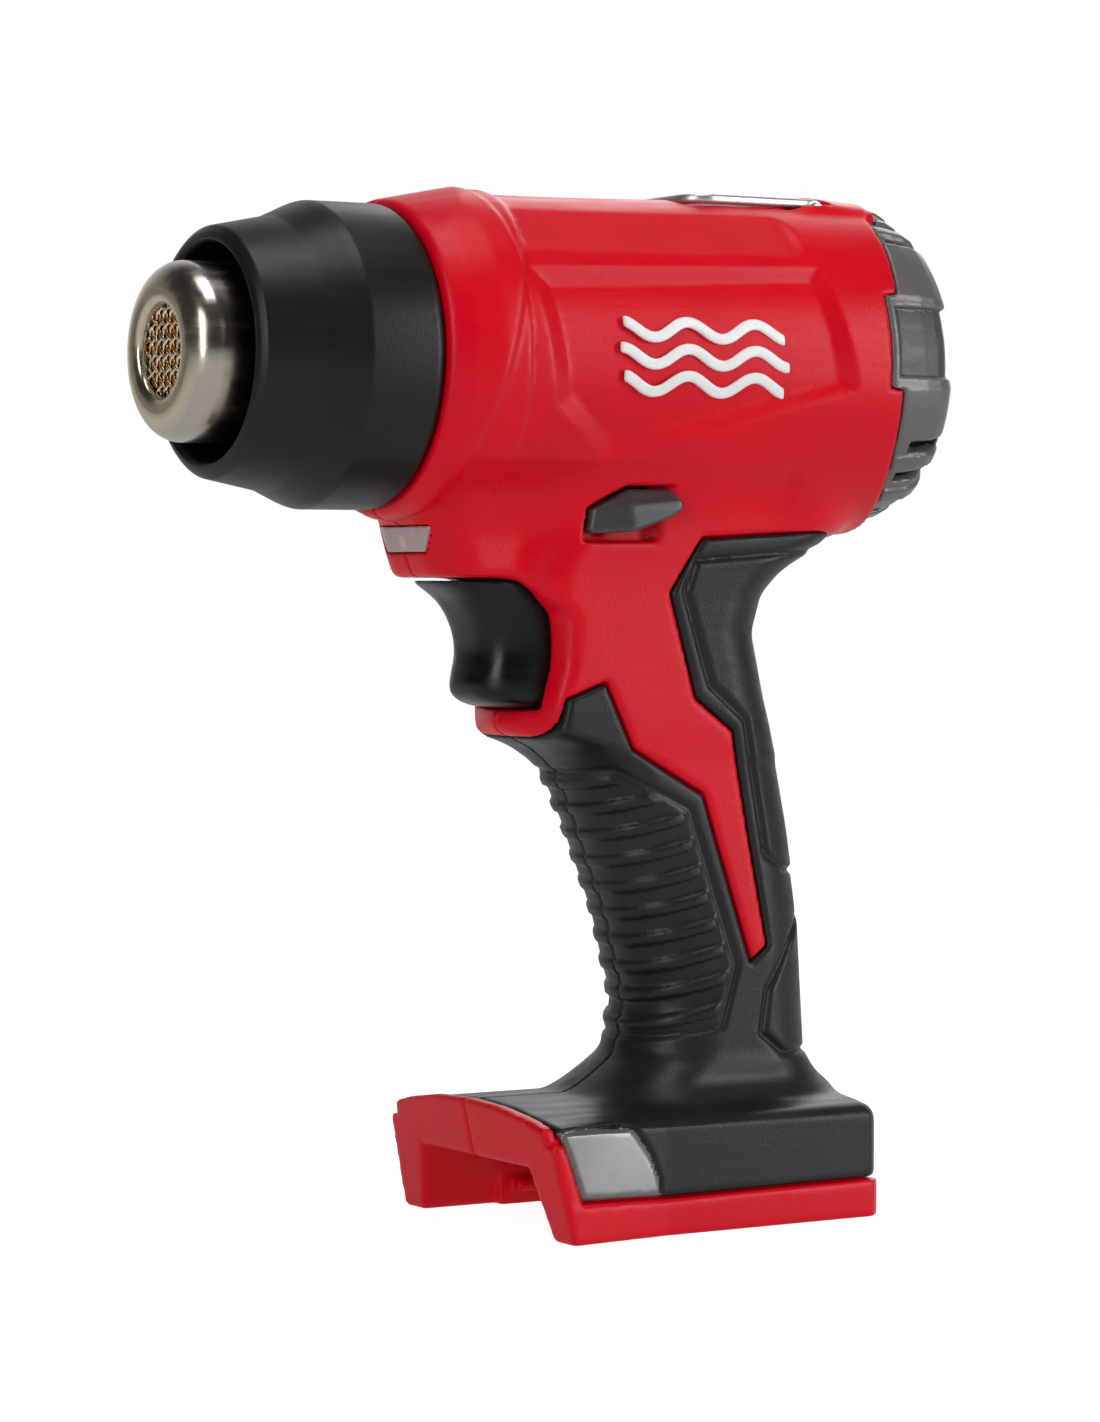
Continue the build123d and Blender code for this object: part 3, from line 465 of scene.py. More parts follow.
# -------- handle, foot and housing
FOOT_FRONT_LEAN = (-30.0, -6.6)  # (y, z) direction that the foot's front faces
FRONT_FACE = (-10.8, 0.0)  # (y, z) of a point on that front
BAND_TOP = 8.2  # top of the red band round the foot
CHANNEL_TOP = 14.5  # roof of the battery channel
HOOK_PIVOT = (62.0, 209.8)
LEVER_PIVOT = (5.0, 143.0)
# Housing screws: y, z and how far out the head sits.
SCREW_PLACES = [
    (34.5, 39.0, 13.0),
    (45.0, 78.0, 13.0),
    (13.5, 98.0, 13.0),
    (38.5, 128.0, 13.0),
    (-17.0, 139.0, 10.5),
    (58.0, 143.0, 13.0),
]

# Grip sections: height, front, back, half width, corner radius.
GRIP_SECTIONS = [
    (19.0, 7.0, 68.4, 21.5, 16.0),
    (28.0, 12.0, 65.5, 18.5, 16.0),
    (34.0, 20.0, 62.4, 17.2, 15.6),
    (45.8, 21.2, 61.8, 17.0, 15.6),
    (62.7, 17.0, 60.8, 17.0, 15.6),
    (79.7, 10.4, 58.2, 17.0, 15.6),
    (94.0, 4.0, 54.8, 17.3, 15.0),
    (98.6, -2.0, 53.4, 17.6, 12.0),
    (101.0, -9.6, 52.8, 17.8, 8.0),
    (107.5, -9.6, 50.8, 18.1, 7.0),
    (121.0, -9.6, 47.5, 18.6, 7.0),
    (129.0, -9.6, 49.6, 19.0, 8.0),
    (134.0, -9.6, 54.4, 19.4, 9.0),
    (139.0, -9.0, 63.4, 20.0, 12.0),
    (143.0, -9.0, 68.0, 20.4, 14.0),
    (150.0, -9.0, 68.0, 20.4, 16.0),
]
BACK_CORNER = 14.0  # least corner radius on the handle's back
WEDGE_NOSE = 10.4  # how far in front of the origin the neck's wedge ends
FINE_HEIGHTS = np.arange(10.0, 160.0, 0.5)


def smooth_line(rows, column, heights, reach):
    """One column of a table by height, averaged over reach samples to each side."""
    line = np.interp(heights, [row[0] for row in rows], [row[column] for row in rows])
    window = np.ones(2 * reach + 1) / (2 * reach + 1)
    return np.convolve(np.pad(line, reach, mode="edge"), window, mode="valid")


FRONT_LINE, BACK_LINE, WIDTH_LINE, CORNER_LINE = (
    smooth_line(GRIP_SECTIONS, column, FINE_HEIGHTS, 3) for column in (1, 2, 3, 4)
)


def grip(g):
    """Handle and neck."""
    front = np.interp(g.z, FINE_HEIGHTS, FRONT_LINE)
    back = np.interp(g.z, FINE_HEIGHTS, BACK_LINE)
    half = np.interp(g.z, FINE_HEIGHTS, WIDTH_LINE)
    radius = np.interp(g.z, FINE_HEIGHTS, CORNER_LINE)
    radius = np.where(g.y > (front + back) / 2, np.maximum(radius, BACK_CORNER), radius)
    over_x = g.across - (half - radius)
    over_y = np.abs(g.y - (front + back) / 2) - ((back - front) / 2 - radius)
    body = square_corner(over_x, over_y) - radius
    # In plan the neck ends in a wedge in front, and the guard's lip in a blunter one.
    lip = 1 - ramp(g.z, 107.0, 117.0)
    flank = (0.42 - 0.085 * lip) * g.across - (0.907 + 0.035 * lip) * (g.y + WEDGE_NOSE)
    return both(body, flank - 10.0 * ramp(g.z, 124.0, 133.0), 3.0)


# Foot: right half of its plan, and of its two crowns seen from the front.
FOOT_PLAN = [(34.4, -20.0), (34.4, -10.8), (31.7, 13.0), (30.8, 63.9), (28.3, 66.4)]
FOOT_CROWN = [
    (0.0, 26.4), (12.0, 25.9), (24.0, 24.6), (32.4, 23.2), (33.6, 10.0), (34.6, 0.0), (34.6, -9.0),
]
ARCH_CROWN = [
    (0.0, 26.6), (12.0, 26.1), (24.0, 24.4), (30.0, 23.0), (30.4, 20.3), (33.2, 19.8),
    (34.9, 0.0), (34.9, -9.0),
]


def foot(g):
    """Foot under the handle, before the battery channel is cut."""
    plan = polygon(mirrored(FOOT_PLAN), g.x, g.y)
    crown = polygon(mirrored(FOOT_CROWN)[:-1], g.x, g.z)
    arch = polygon(mirrored(ARCH_CROWN)[:-1], g.x, g.z)
    ny, nz = FOOT_FRONT_LEAN
    length = math.hypot(ny, nz)
    face = ((g.y - FRONT_FACE[0]) * ny + (g.z - FRONT_FACE[1]) * nz) / length
    # The red arch in front has stepped shoulders, the cover behind it rounded ones.
    lead = g.y + 8.0 + 0.32 * np.maximum(g.z - BAND_TOP, 0.0)
    behind = ramp(lead, -0.5, 0.2)
    body = (1 - behind) * both(plan, arch, 0.9) + behind * both(plan, crown, 4.0)
    band = both(plan, g.z - BAND_TOP, 0.8)
    body = join(body, band, 0.3)
    body = both(body, face, 0.8)
    return both(body, -g.z, 0.8)


# Chin's front edge: (height, y).
CHIN_ROWS = [(130.0, -27.4), (133.5, -28.6), (137.3, -30.0), (142.6, -31.4), (150.0, -31.9), (160.0, -32.0)]
CHIN_CORNER = 9.0
CHIN_HALF = 14.5
CHIN_UNDERSIDE = 132.1
LENS_MIDDLE = 140.1
LENS_HALF = 2.6


def chin(g, inset=0.0):
    """Block under the collar that carries the light."""
    front = read_off(CHIN_ROWS, g.z) + inset
    radius = CHIN_CORNER - inset
    body = square_corner(g.across - (CHIN_HALF - inset - radius), front + radius - g.y) - radius
    body = both(body, CHIN_UNDERSIDE + inset - g.z, 2.4)
    body = both(body, g.z - 150.0)
    return both(body, g.y + 4.0)


def lens_zone(g):
    """Front view of the light strip: its ends slope, wider at the top."""
    ends = g.across - (9.0 + 0.5 * (g.z - LENS_MIDDLE))
    return both(ends, np.abs(g.z - LENS_MIDDLE) - LENS_HALF, 0.4)


# Barrel: radius along the axis.
BARREL = [(-37.0, 31.5), (-33.0, 32.9), (-26.0, 34.0), (-16.0, 34.4), (20, 34.5), (60, 34.8), (78, 34.9)]
PANEL_OUTLINE = [(-18.5, 194.1), (51.5, 196.0), (57.3, 170.8), (1.1, 155.3), (-13.5, 166.3)]
PANEL_DEPTH = 1.7
FACET_TILT = 50.0
FACET_SHARE = 0.978  # how far out the facets lie, as a share of the radius
# Angle up from the side, and where the red ends and the grey cap begins there.
REAR_EDGE = [
    (-90, 76.0), (-72, 74.7), (-60, 73.0), (-49, 71.5), (-35, 69.9), (-25, 69.2), (-9.2, 68.8),
    (-8.2, 65.6), (24.0, 65.6), (25.0, 68.9), (33, 69.5), (40, 70.2), (56, 71.5), (70, 73.1),
    (82, 76.0), (90, 76.8),
]


def polar(g):
    """Radius and angle up from the side, in degrees, about the barrel's axis."""
    return np.hypot(g.x, g.z - AXIS), np.degrees(np.arctan2(g.z - AXIS, g.across))


def rear_edge(angle):
    """Where the red housing ends at each angle."""
    return read_off(REAR_EDGE, angle).astype(np.float32)


def barrel_radius(g, angle):
    """Outer radius of the barrel, with its bevelled collar and sunk side panel."""
    radius = read_off(BARREL, g.y).astype(np.float32)
    ridge = np.interp(angle, [20, 48, 72, 90], [-31.5, -31.2, -25.9, -24.0])
    bevel = 31.5 + (g.y + 37.0) * (34.0 - 31.5) / (ridge + 37.0)
    radius = np.where(g.y < -20.0, np.minimum(radius + 0.5, bevel), radius)
    inside = -polygon(PANEL_OUTLINE, g.y, g.z)
    # The bevel is widest at the front and fades out along the lower edge.
    width = np.interp(g.y, [-18, 0, 40, 50], [4.4, 4.2, 3.2, 3.0])
    sunk = np.clip(inside / width, 0.0, 1.0)
    return radius - PANEL_DEPTH * sunk


def barrel(g):
    """Outside of the barrel up to the grey cap."""
    r, angle = polar(g)
    radius = barrel_radius(g, angle)
    # Flat facets above the side panel and at the same place below it.
    # They end in front at the collar's slanting edge and fade out at the rear.
    slant = g.y + 19.5 - 0.28 * (g.z - AXIS - 20.0)
    ridge_zone = np.clip(slant / 1.8, 0.0, 1.0) * (1 - ramp(g.y, 46.0, 58.0))
    slim = radius - 0.9 * np.clip(slant / 1.8, 0.0, 1.0) * (1 - ramp(g.y, -10.0, 50.0))
    body = r - slim
    for tilt in (FACET_TILT, -FACET_TILT):
        lean = math.radians(tilt)
        plane = g.across * math.cos(lean) + (g.z - AXIS) * math.sin(lean) - slim * FACET_SHARE
        body = np.maximum(body, plane - 3.0 * (1 - ridge_zone))
    body = both(body, -37.0 - g.y, 1.0)
    return both(body, g.y - rear_edge(angle), 0.7)


# Cover over the hook's pivot: (y, distance from the barrel's axis).
HOOD_OUTLINE = [
    (54.0, 29.7), (56.6, 33.7), (58.8, 35.7), (63.0, 36.3), (76.8, 35.0), (76.8, 27.7), (54.0, 27.7),
]
HOOD_TOP = 212.7
HOOD_HALF = 13.0


def hood(g):
    """Raised red cover over the hook's pivot."""
    r, _ = polar(g)
    cover = both(polygon(HOOD_OUTLINE, g.y, r), g.across - HOOD_HALF, 2.0)
    return both(cover, AXIS - g.z)


# Bore: radius along the axis, with the groove that holds the shroud.
BORE = [
    (-38.0, 28.4), (-33.3, 28.4), (-33.1, 30.6), (-29.9, 30.6), (-29.7, 28.4), (-27.0, 28.4),
    (-26.0, 30.4), (60.0, 31.6), (90.0, 31.6),
]

# Rubber boundary seen from the side.
RUBBER_OUTLINE = [
    (-40.0, 99.4), (-9.2, 99.4), (-6.8, 98.6), (-4.7, 100.4), (-3.0, 104.0), (-2.2, 107.9),
    (6.8, 111.2), (13.8, 97.5), (31.0, 87.9), (42.9, 53.0), (46.8, 56.0), (37.7, 100.9),
    (28.4, 107.8), (21.7, 129.3), (28.7, 140.5), (58.0, 142.2), (90.0, 142.2), (90.0, BAND_TOP),
    (12.3, BAND_TOP - 0.6), (-8.0, BAND_TOP), (-12.6, 22.5), (-13.0, 34.0), (-40.0, 60.0),
]
# Space in front of the neck that the finger and the trigger need, seen from the side.
TRIGGER_SPACE = [
    (-50.0, 132.1), (-16.3, 132.1), (-11.8, 131.2), (-8.4, 129.0), (-6.0, 125.0), (-4.7, 119.9),
    (-5.1, 113.9), (-6.9, 109.4), (-9.8, 106.6), (-17.0, 105.6), (-50.0, 105.6),
]
SKIN = 2.2  # rubber thickness, a little more than the ribs and sunk lines are deep
WALL = 2.0
PARTING = 0.005  # half the gap between the two halves
SCREW_HEAD = 3.0  # radius of the hole for a screw's head
SCREW_BORE = 1.45
# Lever's window seen from the side, and how far out the floor behind it lies.
WINDOW = [
    (0.5, 139.5), (19.0, 139.8), (20.4, 144.0), (22.6, 151.1), (8.8, 150.9), (3.4, 148.0), (0.8, 146.4),
]
WINDOW_FLOOR = 17.3


def soft_body(g):
    """Handle, neck and foot together, with the flare between handle and foot."""
    handle = both(both(grip(g), 12.0 - g.z), g.z - 150.0)
    return join(handle, foot(g), 5.0)


def head_hole(g, y, z, seat):
    """Hole for a screw's head, open to the outside."""
    return both(from_line(g, y, z) - SCREW_HEAD, seat - 1.5 - g.across)


def housing(g, right):
    """One moulded half with its cavities, x above 0. The right half carries the screw heads."""
    r, angle = polar(g)
    zone = polygon(RUBBER_OUTLINE, g.y, g.z)
    soft = soft_body(g)
    neck = cut(soft, polygon(TRIGGER_SPACE, g.y, g.z), 4.5)
    shown = cut(neck, zone - 0.25, 0.8)
    core = neck + SKIN + 0.1
    body = join(shown, core)
    body = join(body, chin(g), 5.0)
    body = cut(body, polygon(TRIGGER_SPACE, g.y, g.z), 1.0)
    # The fillet under the barrel shrinks towards the collar.
    tube = barrel(g)
    far = ramp(g.y, -32.0, -24.0)
    outer = (1 - far) * join(tube, body, 2.0) + far * join(tube, body, 7.0)
    outer = join(outer, hood(g), 3.0)
    outer = both(outer, g.z - HOOD_TOP, 0.5)
    # Bore, handle, foot and chin are hollow.
    outer = cut(outer, r - read_off(BORE, g.y).astype(np.float32))
    hollow = both(both(grip(g) + SKIN + WALL, 16.6 - g.z), g.z - 149.0)
    outer = cut(outer, hollow, 0.8)
    outer = cut(outer, pair(g, (0, -4.0, 16.8), (24, 60.0, 21.0), 1.0))
    outer = cut(outer, pair(g, (0, -25.8, 135.2), (8.6, -11.0, 150.0), 1.0))
    # Battery channel with its mouth and rails.
    mouth = polygon(mirrored([(21.5, CHANNEL_TOP), (26.6, -1.0), (26.6, -9.0)]), g.x, g.z)
    outer = cut(outer, both(mouth, g.y - 6.0), 1.0)
    outer = cut(outer, pair(g, (-9, 5.0, -9), (23.5, 56.0, CHANNEL_TOP), 0.6), 0.4)
    for rail_low in (3.0, 8.5):
        outer = join(outer, pair(g, (20.5, 9.0, rail_low), (24.5, 54.0, rail_low + 2.5), 0.5), 0.6)
    outer = cut(outer, pair(g, (-9, 29.8, CHANNEL_TOP - 1), (14.2, 50.2, 17.5)))
    # Trigger mouth, screw bosses, lever plate and window.
    outer = cut(outer, pair(g, (-9, -40.0, 105.6), (12.4, 12.0, 131.9), 1.0), 0.8)
    for y, z, seat in SCREW_PLACES:
        outer = join(outer, crossbar(g, y, z, 3.4, seat + 0.9), 0.6)
    outer = join(outer, pair(g, (14.3, -5.0, 136.5), (17.4, 31.0, 149.2), 0.4))
    window = both(polygon(WINDOW, g.y, g.z), WINDOW_FLOOR - g.across)
    ramp_floor = WINDOW_FLOOR + 1.1 * np.maximum(g.y - 15.6, 0.0)
    outer = cut(outer, both(window, ramp_floor - g.across), 0.5)
    outer = cut(outer, crossbar(g, *LEVER_PIVOT, 1.8, 20))
    # Hook recess and slots, light strip, screw holes.
    outer = cut(outer, cuboid(g, (-12.0, 30.2, 209.4), (12.0, 56.5, 220.0), 0.8), 0.5)
    outer = cut(outer, pair(g, (7.7, 54.0, 207.6), (11.8, 65.8, 220.0), 0.3))
    outer = cut(outer, both(lens_zone(g), g.y + 26.3) - 0.12, 0.3)
    for y, z, seat in SCREW_PLACES:
        if right:
            outer = cut(outer, head_hole(g, y, z, seat), 0.5)
            outer = cut(outer, crossbar(g, y, z, SCREW_BORE, seat + 5))
        else:
            outer = cut(outer, crossbar(g, y, z, SCREW_BORE, seat - 3))
    # The parting face, with a soft edge that shows as the seam.
    return both(outer, PARTING - g.x, 0.5)


def add_housings():
    g = Grid((-1.2, -39.0, -1.2), (36.5, 79.0, 215.5), 0.72)
    for side, right in (("left", False), ("right", True)):
        points, quads = surface(housing(g, right), g)
        if right:
            points, quads = flip(points, quads)
        build(f"{side}_housing_shell", points, quads, "tool", [f"{side}_housing"], "red_housing", [red])


# -------- rubber overmould
# Outlines on the rubber, seen from the side.
RIB_PANEL = [
    (-40, 90.0), (-5.4, 91.6), (10.5, 93.7), (28.0, 85.2), (39.5, 52.4), (35.7, 39.4),
    (8.9, 35.2), (-40, 33.0),
]
BACK_PANEL = [
    (27.1, 136.0), (25.0, 129.7), (31.8, 110.2), (40.7, 103.0), (46.3, 75.0), (52.3, 71.6),
    (90, 68), (90, 138), (60, 138.5),
]
LOW_BACK_PANEL = [(53.7, 57.2), (46.6, 47.1), (45.1, 37.9), (50.7, 33.6), (90, 33.0), (90, 66.0), (60, 63)]
PATCH = [(-20.0, 22.3), (2.6, 23.0), (6.0, 21.6), (9.2, 17.0), (11.3, 12.0), (12.2, 5.0), (-20.0, 5.0)]
PATCH_LEAN = 0.04
LINE_DEPTH = 0.75  # how deep the sunk lines at the handle's back are
RIB_PITCH = 6.0
RIB_HEIGHT = 0.6
RIB_SHARE = 0.38  # part of the pitch that the raised rib takes
RIB_LEAN = 0.26


def overmould(g):
    """Rubber skin over the handle and foot on one side, with ribs, borders and sunk lines."""
    zone = polygon(RUBBER_OUTLINE, g.y, g.z)
    soft = soft_body(g)
    ribs = polygon(RIB_PANEL, g.y, g.z)
    relief = -0.4 * ramp(-ribs, -0.5, 0.5) - 0.5 * np.exp(-(((ribs + 0.3) / 0.6) ** 2))
    phase = (g.z - RIB_LEAN * g.y - 33.0) / RIB_PITCH
    step = phase - np.floor(phase)
    rib = ramp(step, 0.0, 0.09) * (1 - ramp(step, RIB_SHARE, RIB_SHARE + 0.12))
    hollow = -0.35 * ramp(-ribs, 2.0, 5.0) * (1 - ramp(-ribs, 6.0, 15.0))
    relief = relief + ramp(-ribs, 1.6, 2.6) * (RIB_HEIGHT * rib - 0.12 + hollow * (1 - rib))
    for outline in (BACK_PANEL, LOW_BACK_PANEL):
        edge = polygon(outline, g.y, g.z)
        relief = relief - LINE_DEPTH * np.exp(-((edge / 0.6) ** 2)) + 0.3 * ramp(-edge, 0.2, 1.4)
    patch = polygon(PATCH, g.y, g.z)
    low = 1 - ramp(g.z, 24.0, 27.0)
    # The patch leans back towards its top.
    depth = 0.35 + PATCH_LEAN * (g.z - BAND_TOP)
    relief = relief - low * (depth * ramp(-patch, -0.2, 0.6) + 0.25 * np.exp(-((patch / 0.5) ** 2)))
    relief = relief - 0.45 * low
    outside = soft - relief
    rim = both(outside, zone + 0.2, 1.3)
    # The skin stops short of the barrel.
    r, _ = polar(g)
    return cut(cut(rim, soft + SKIN), r - BARREL[-1][1])


def add_overmoulds():
    g = Grid((-1.0, -16.0, 6.0), (35.6, 68.5, 144.0), 0.5)
    plain = overmould(g)

    def shiny(middles):
        inside = polygon(PATCH, middles[:, 1], middles[:, 2]) < -0.2
        return inside & (np.abs(middles[:, 0]) > 29.0) & (middles[:, 2] < 23.5)

    for side, sign in (("left", 1), ("right", -1)):
        field = plain
        if sign < 0:
            for y, z, seat in SCREW_PLACES:
                field = cut(field, head_hole(g, y, z, seat), 0.4)
        points, quads = surface(both(field, PARTING - g.x, 0.4), g)
        if sign < 0:
            points, quads = flip(points, quads)
        name = f"{side}_overmould_skin"
        made = [rubber, rubber_patch]
        build(name, points, quads, "tool", [f"{side}_overmould"], "black_rubber", made, shiny)


# -------- rear cap
# Cap's outside and inside: (y, radius).
CAP_OUTER = [
    (58.0, 0.0), (58.0, 34.9), (68.0, 34.9), (75.0, 34.3), (79.4, 33.5), (81.9, 32.3), (83.8, 30.3),
    (BACK, 28.0), (BACK, 0.0),
]
CAP_INNER = [(50.0, 0.0), (50.0, 31.9), (75.0, 31.4), (80.6, 29.4), (82.8, 26.6), (82.8, 0.0)]
# Angle up from the side and how deep the cap's surface is sunk there.
CAP_STEPS = [
    (-90, 1.2), (-57, 1.2), (-56, 0.15), (-50, 0.15), (-49, 1.1), (-40, 1.1), (-39, 0.0), (-34, 0.0),
    (-33.5, 0.5), (-27.5, 0.5), (-27, 0.0), (-8, 0.0), (-7, 0.35), (23, 0.35), (24, 0.0), (48, 0.0),
    (49, 0.9), (54, 0.9), (55, 0.1), (59, 0.1), (60, 1.0), (66, 1.0), (67, 0.2), (70, 0.2), (71, 1.0),
    (75, 1.0), (76, -0.8), (90, -0.9),
]
CAP_PANEL_LEVEL = 4.6  # height of the side panel's middle above the axis
CAP_PANEL_HALF = 7.6
CAP_PANEL_START = 67.6
CAP_SLOTS = [-78.0, -66.0, -44.5, -30.5, 51.5, 63.0, 73.0]  # angles up from the side
VENT_RADII = [10.0, 15.0, 20.0]
VENT_HALF = 1.2


def rear_cap(g):
    """Grey cap with stepped fins, a sunk panel each side, and inlet slots."""
    r, angle = polar(g)
    sunk = read_off(CAP_STEPS, angle) * ramp(r, 22.0, 27.0)
    level = g.z - AXIS
    frame_edge = np.maximum(np.abs(level - CAP_PANEL_LEVEL) - CAP_PANEL_HALF, CAP_PANEL_START - g.y)
    side_panel = ramp(-frame_edge, 0.0, 0.7) * ramp(r, 22.0, 27.0)
    sunk = sunk + side_panel * (angle > -9) * (angle < 26)
    outside = polygon(CAP_OUTER, g.y, r) + sunk
    body = both(outside, rear_edge(angle) + 0.25 - g.y, 0.6)
    body = both(body, g.y - BACK, 0.4)
    body = cut(body, polygon(CAP_INNER, g.y, r))
    spigot = np.maximum(np.maximum(r - 31.3, 29.8 - r), np.maximum(64.0 - g.y, g.y - 76.0))
    body = join(body, spigot)
    for turn in CAP_SLOTS:
        lean = math.radians(turn)
        out = g.across * math.cos(lean) + level * math.sin(lean)
        side = np.abs(level * math.cos(lean) - g.across * math.sin(lean)) - 1.2
        slot = np.maximum(np.maximum(side, 26.0 - out), np.maximum(73.6 - g.y, g.y - 82.6))
        body = cut(body, slot, 0.4)
    rings = np.minimum.reduce([np.abs(r - radius) - VENT_HALF for radius in VENT_RADII])
    spokes = np.minimum(np.abs(g.x - level), np.abs(g.x + level)) / math.sqrt(2) - 2.0
    vents = np.maximum(np.maximum(rings, -spokes), 81.0 - g.y)
    body = cut(body, vents, 0.5)
    return cut(body, hood(g) - 0.3, 0.4)


def add_cap():
    g = Grid((-36.0, 63.0, AXIS - 36.0), (36.0, BACK + 1.0, AXIS + 36.0), 0.5)
    points, quads = surface(rear_cap(g), g)

    def darker(middles):
        level = middles[:, 2] - AXIS
        far = np.hypot(middles[:, 0], level) > 28.0
        within = np.abs(level - CAP_PANEL_LEVEL) < CAP_PANEL_HALF - 0.4
        along = middles[:, 1]
        return far & within & (along > CAP_PANEL_START + 0.4) & (along < 83.5)

    made = [cap_grey, cap_panel]
    build("intake_cap_shell", points, quads, "tool", ["intake_cap"], "grey_cap", made, darker)


# -------- turned parts
def rounded(points, radius, steps=4):
    """Replace each inner corner of a closed outline with a small arc."""
    made = []
    count = len(points)
    for i, point in enumerate(points):
        here = Vector(point)
        before = Vector(points[i - 1]) - here
        after = Vector(points[(i + 1) % count]) - here
        reach = min(radius, before.length * 0.45, after.length * 0.45)
        start = here + before.normalized() * reach
        end = here + after.normalized() * reach
        for step in range(steps + 1):
            t = step / steps
            spot = start * (1 - t) ** 2 + here * 2 * t * (1 - t) + end * t**2
            made.append((spot.x, spot.y))
    return made


LATHE_SIDES = 160
LATHE_SHARP = 28.0  # edges that turn by more than this many degrees look sharp


def lathe(name, outline, stands_for, slot, made):
    """Closed ring turned about the barrel's axis from (y, radius) points."""
    turns = np.linspace(0, 2 * math.pi, LATHE_SIDES, endpoint=False)
    line = np.array(outline)
    points = []
    for turn in turns:
        x = line[:, 1] * math.cos(turn)
        z = line[:, 1] * math.sin(turn) + AXIS
        points.append(np.stack([x, line[:, 0], z], 1))
    points = np.concatenate(points)
    count = len(line)
    quads = []
    for a in range(LATHE_SIDES):
        b = (a + 1) % LATHE_SIDES
        for i in range(count):
            j = (i + 1) % count
            quads.append((a * count + i, b * count + i, b * count + j, a * count + j))
    after = np.roll(line, -1, axis=0)
    if (line[:, 0] * after[:, 1] - after[:, 0] * line[:, 1]).sum() < 0:
        quads = [q[::-1] for q in quads]
    build(name, points, quads, "tool", stands_for, slot, [made], flat_angle=LATHE_SHARP)


def arc(center, radius, start, end, steps):
    """Points on a circle in the (y, radius) plane, angles in degrees."""
    turns = np.radians(np.linspace(start, end, steps))
    return [(center[0] + radius * math.cos(t), center[1] + radius * math.sin(t)) for t in turns]


def add_nose():
    shroud = [
        (-75.0, 22.2), (-74.6, 23.6), (-73.4, 24.9), (-61.8, 27.2), (-60.8, 27.6), (-55.2, 30.1),
        (-53.6, 30.6), (-39.2, 30.6), (-38.2, 30.3), (-37.3, 29.6), (-37.3, 28.1), (-32.9, 28.1),
        (-32.9, 30.2), (-30.1, 30.2), (-30.1, 26.4), (-44.2, 26.4), (-44.2, 21.9), (-56.0, 21.5),
        (-73.8, 21.5),
    ]
    lathe("nose_shroud_turned", rounded(shroud, 0.45), ["nose_shroud"], "black_shroud", shroud_black)
    # The nozzle's mouth is rolled in: one bend outside, a tighter one inside.
    bend = (TIP + 5.5, 12.3)
    steel = [(TIP + 2.2, 9.1), (TIP + 1.2, 9.2), (TIP + 0.5, 9.5), (TIP + 0.1, 10.1), (TIP, 11.0)]
    steel += [(TIP, bend[1])] + arc(bend, 5.5, 180, 90, 14)
    steel += [
        (-66.4, 17.8), (-66.0, 17.6), (-65.6, 17.2), (-44.2, 17.2), (-44.2, 26.1), (-43.2, 26.1),
        (-43.2, 16.2), (-66.0, 16.2), (TIP + 5.5, 16.6),
    ]
    steel += arc(bend, 4.3, 90, 180, 10) + [(TIP + 1.2, 11.0), (TIP + 1.6, 10.0)]
    lathe("nozzle_turned", rounded(steel, 0.3, 2), ["nozzle"], "nozzle_steel", nozzle_steel)


def tube(path, radius, sides):
    """Closed tube along a list of points: (points, faces)."""
    path = np.array(path, float)
    tangent = np.gradient(path, axis=0)
    tangent /= np.linalg.norm(tangent, axis=1)[:, None]
    side = np.cross(tangent, [0.0, 1.0, 0.0])
    side /= np.linalg.norm(side, axis=1)[:, None]
    up = np.cross(side, tangent)
    points, faces = [], []
    for i in range(len(path)):
        for s in range(sides):
            t = 2 * math.pi * s / sides
            points.append(path[i] + radius * (side[i] * math.cos(t) + up[i] * math.sin(t)))
    for i in range(len(path) - 1):
        for s in range(sides):
            n = (s + 1) % sides
            faces.append((i * sides + s, i * sides + n, (i + 1) * sides + n, (i + 1) * sides + s))
    faces.append(tuple(range(sides))[::-1])
    last = (len(path) - 1) * sides
    faces.append(tuple(range(last, last + sides)))
    return points, faces


def add_weave():
    """Woven screen in the nozzle's mouth, its wires coloured by heat."""
    wires = finish("heat_coloured_wire", (0.62, 0.42, 0.26), 0.22, 1.0, vary=0.2, grain=900, bump=0.02)
    heat = [
        (0.30, (0.80, 0.52, 0.24)),
        (0.42, (0.88, 0.50, 0.22)),
        (0.52, (0.92, 0.84, 0.70)),
        (0.62, (0.50, 0.34, 0.22)),
        (0.75, (0.90, 0.68, 0.36)),
    ]
    color = tint(wires, noise(wires, 420.0, 2.0), heat)
    wires.node_tree.links.new(color, wires.node_tree.nodes["Principled BSDF"].inputs["Base Color"])
    pitch = 2.15
    wire = 0.4
    swing = 0.3  # how far a wire weaves to each side
    reach = 11.4
    middle = TIP + 2.7
    points, faces = [], []
    count = int(reach / pitch)
    for direction in (0, 1):
        for row in range(-count, count + 1):
            offset = row * pitch
            half = math.sqrt(reach**2 - offset**2)
            steps = max(4, int(2 * half / (pitch / 4)))
            path = []
            for step in range(steps + 1):
                along = -half + 2 * half * step / steps
                wave = math.cos(math.pi * along / pitch) * (-1) ** (row + direction) * swing
                u, v = (along, offset) if direction else (offset, along)
                x, z = (u + v) / math.sqrt(2), (v - u) / math.sqrt(2)
                path.append((x, middle + wave, z + AXIS))
            ring, sides = tube(path, wire, 6)
            base = len(points)
            points += ring
            faces += [tuple(base + i for i in face) for face in sides]
    build("nozzle_weave", points, faces, "tool", ["nozzle_mesh"], "mesh_steel", [wires])


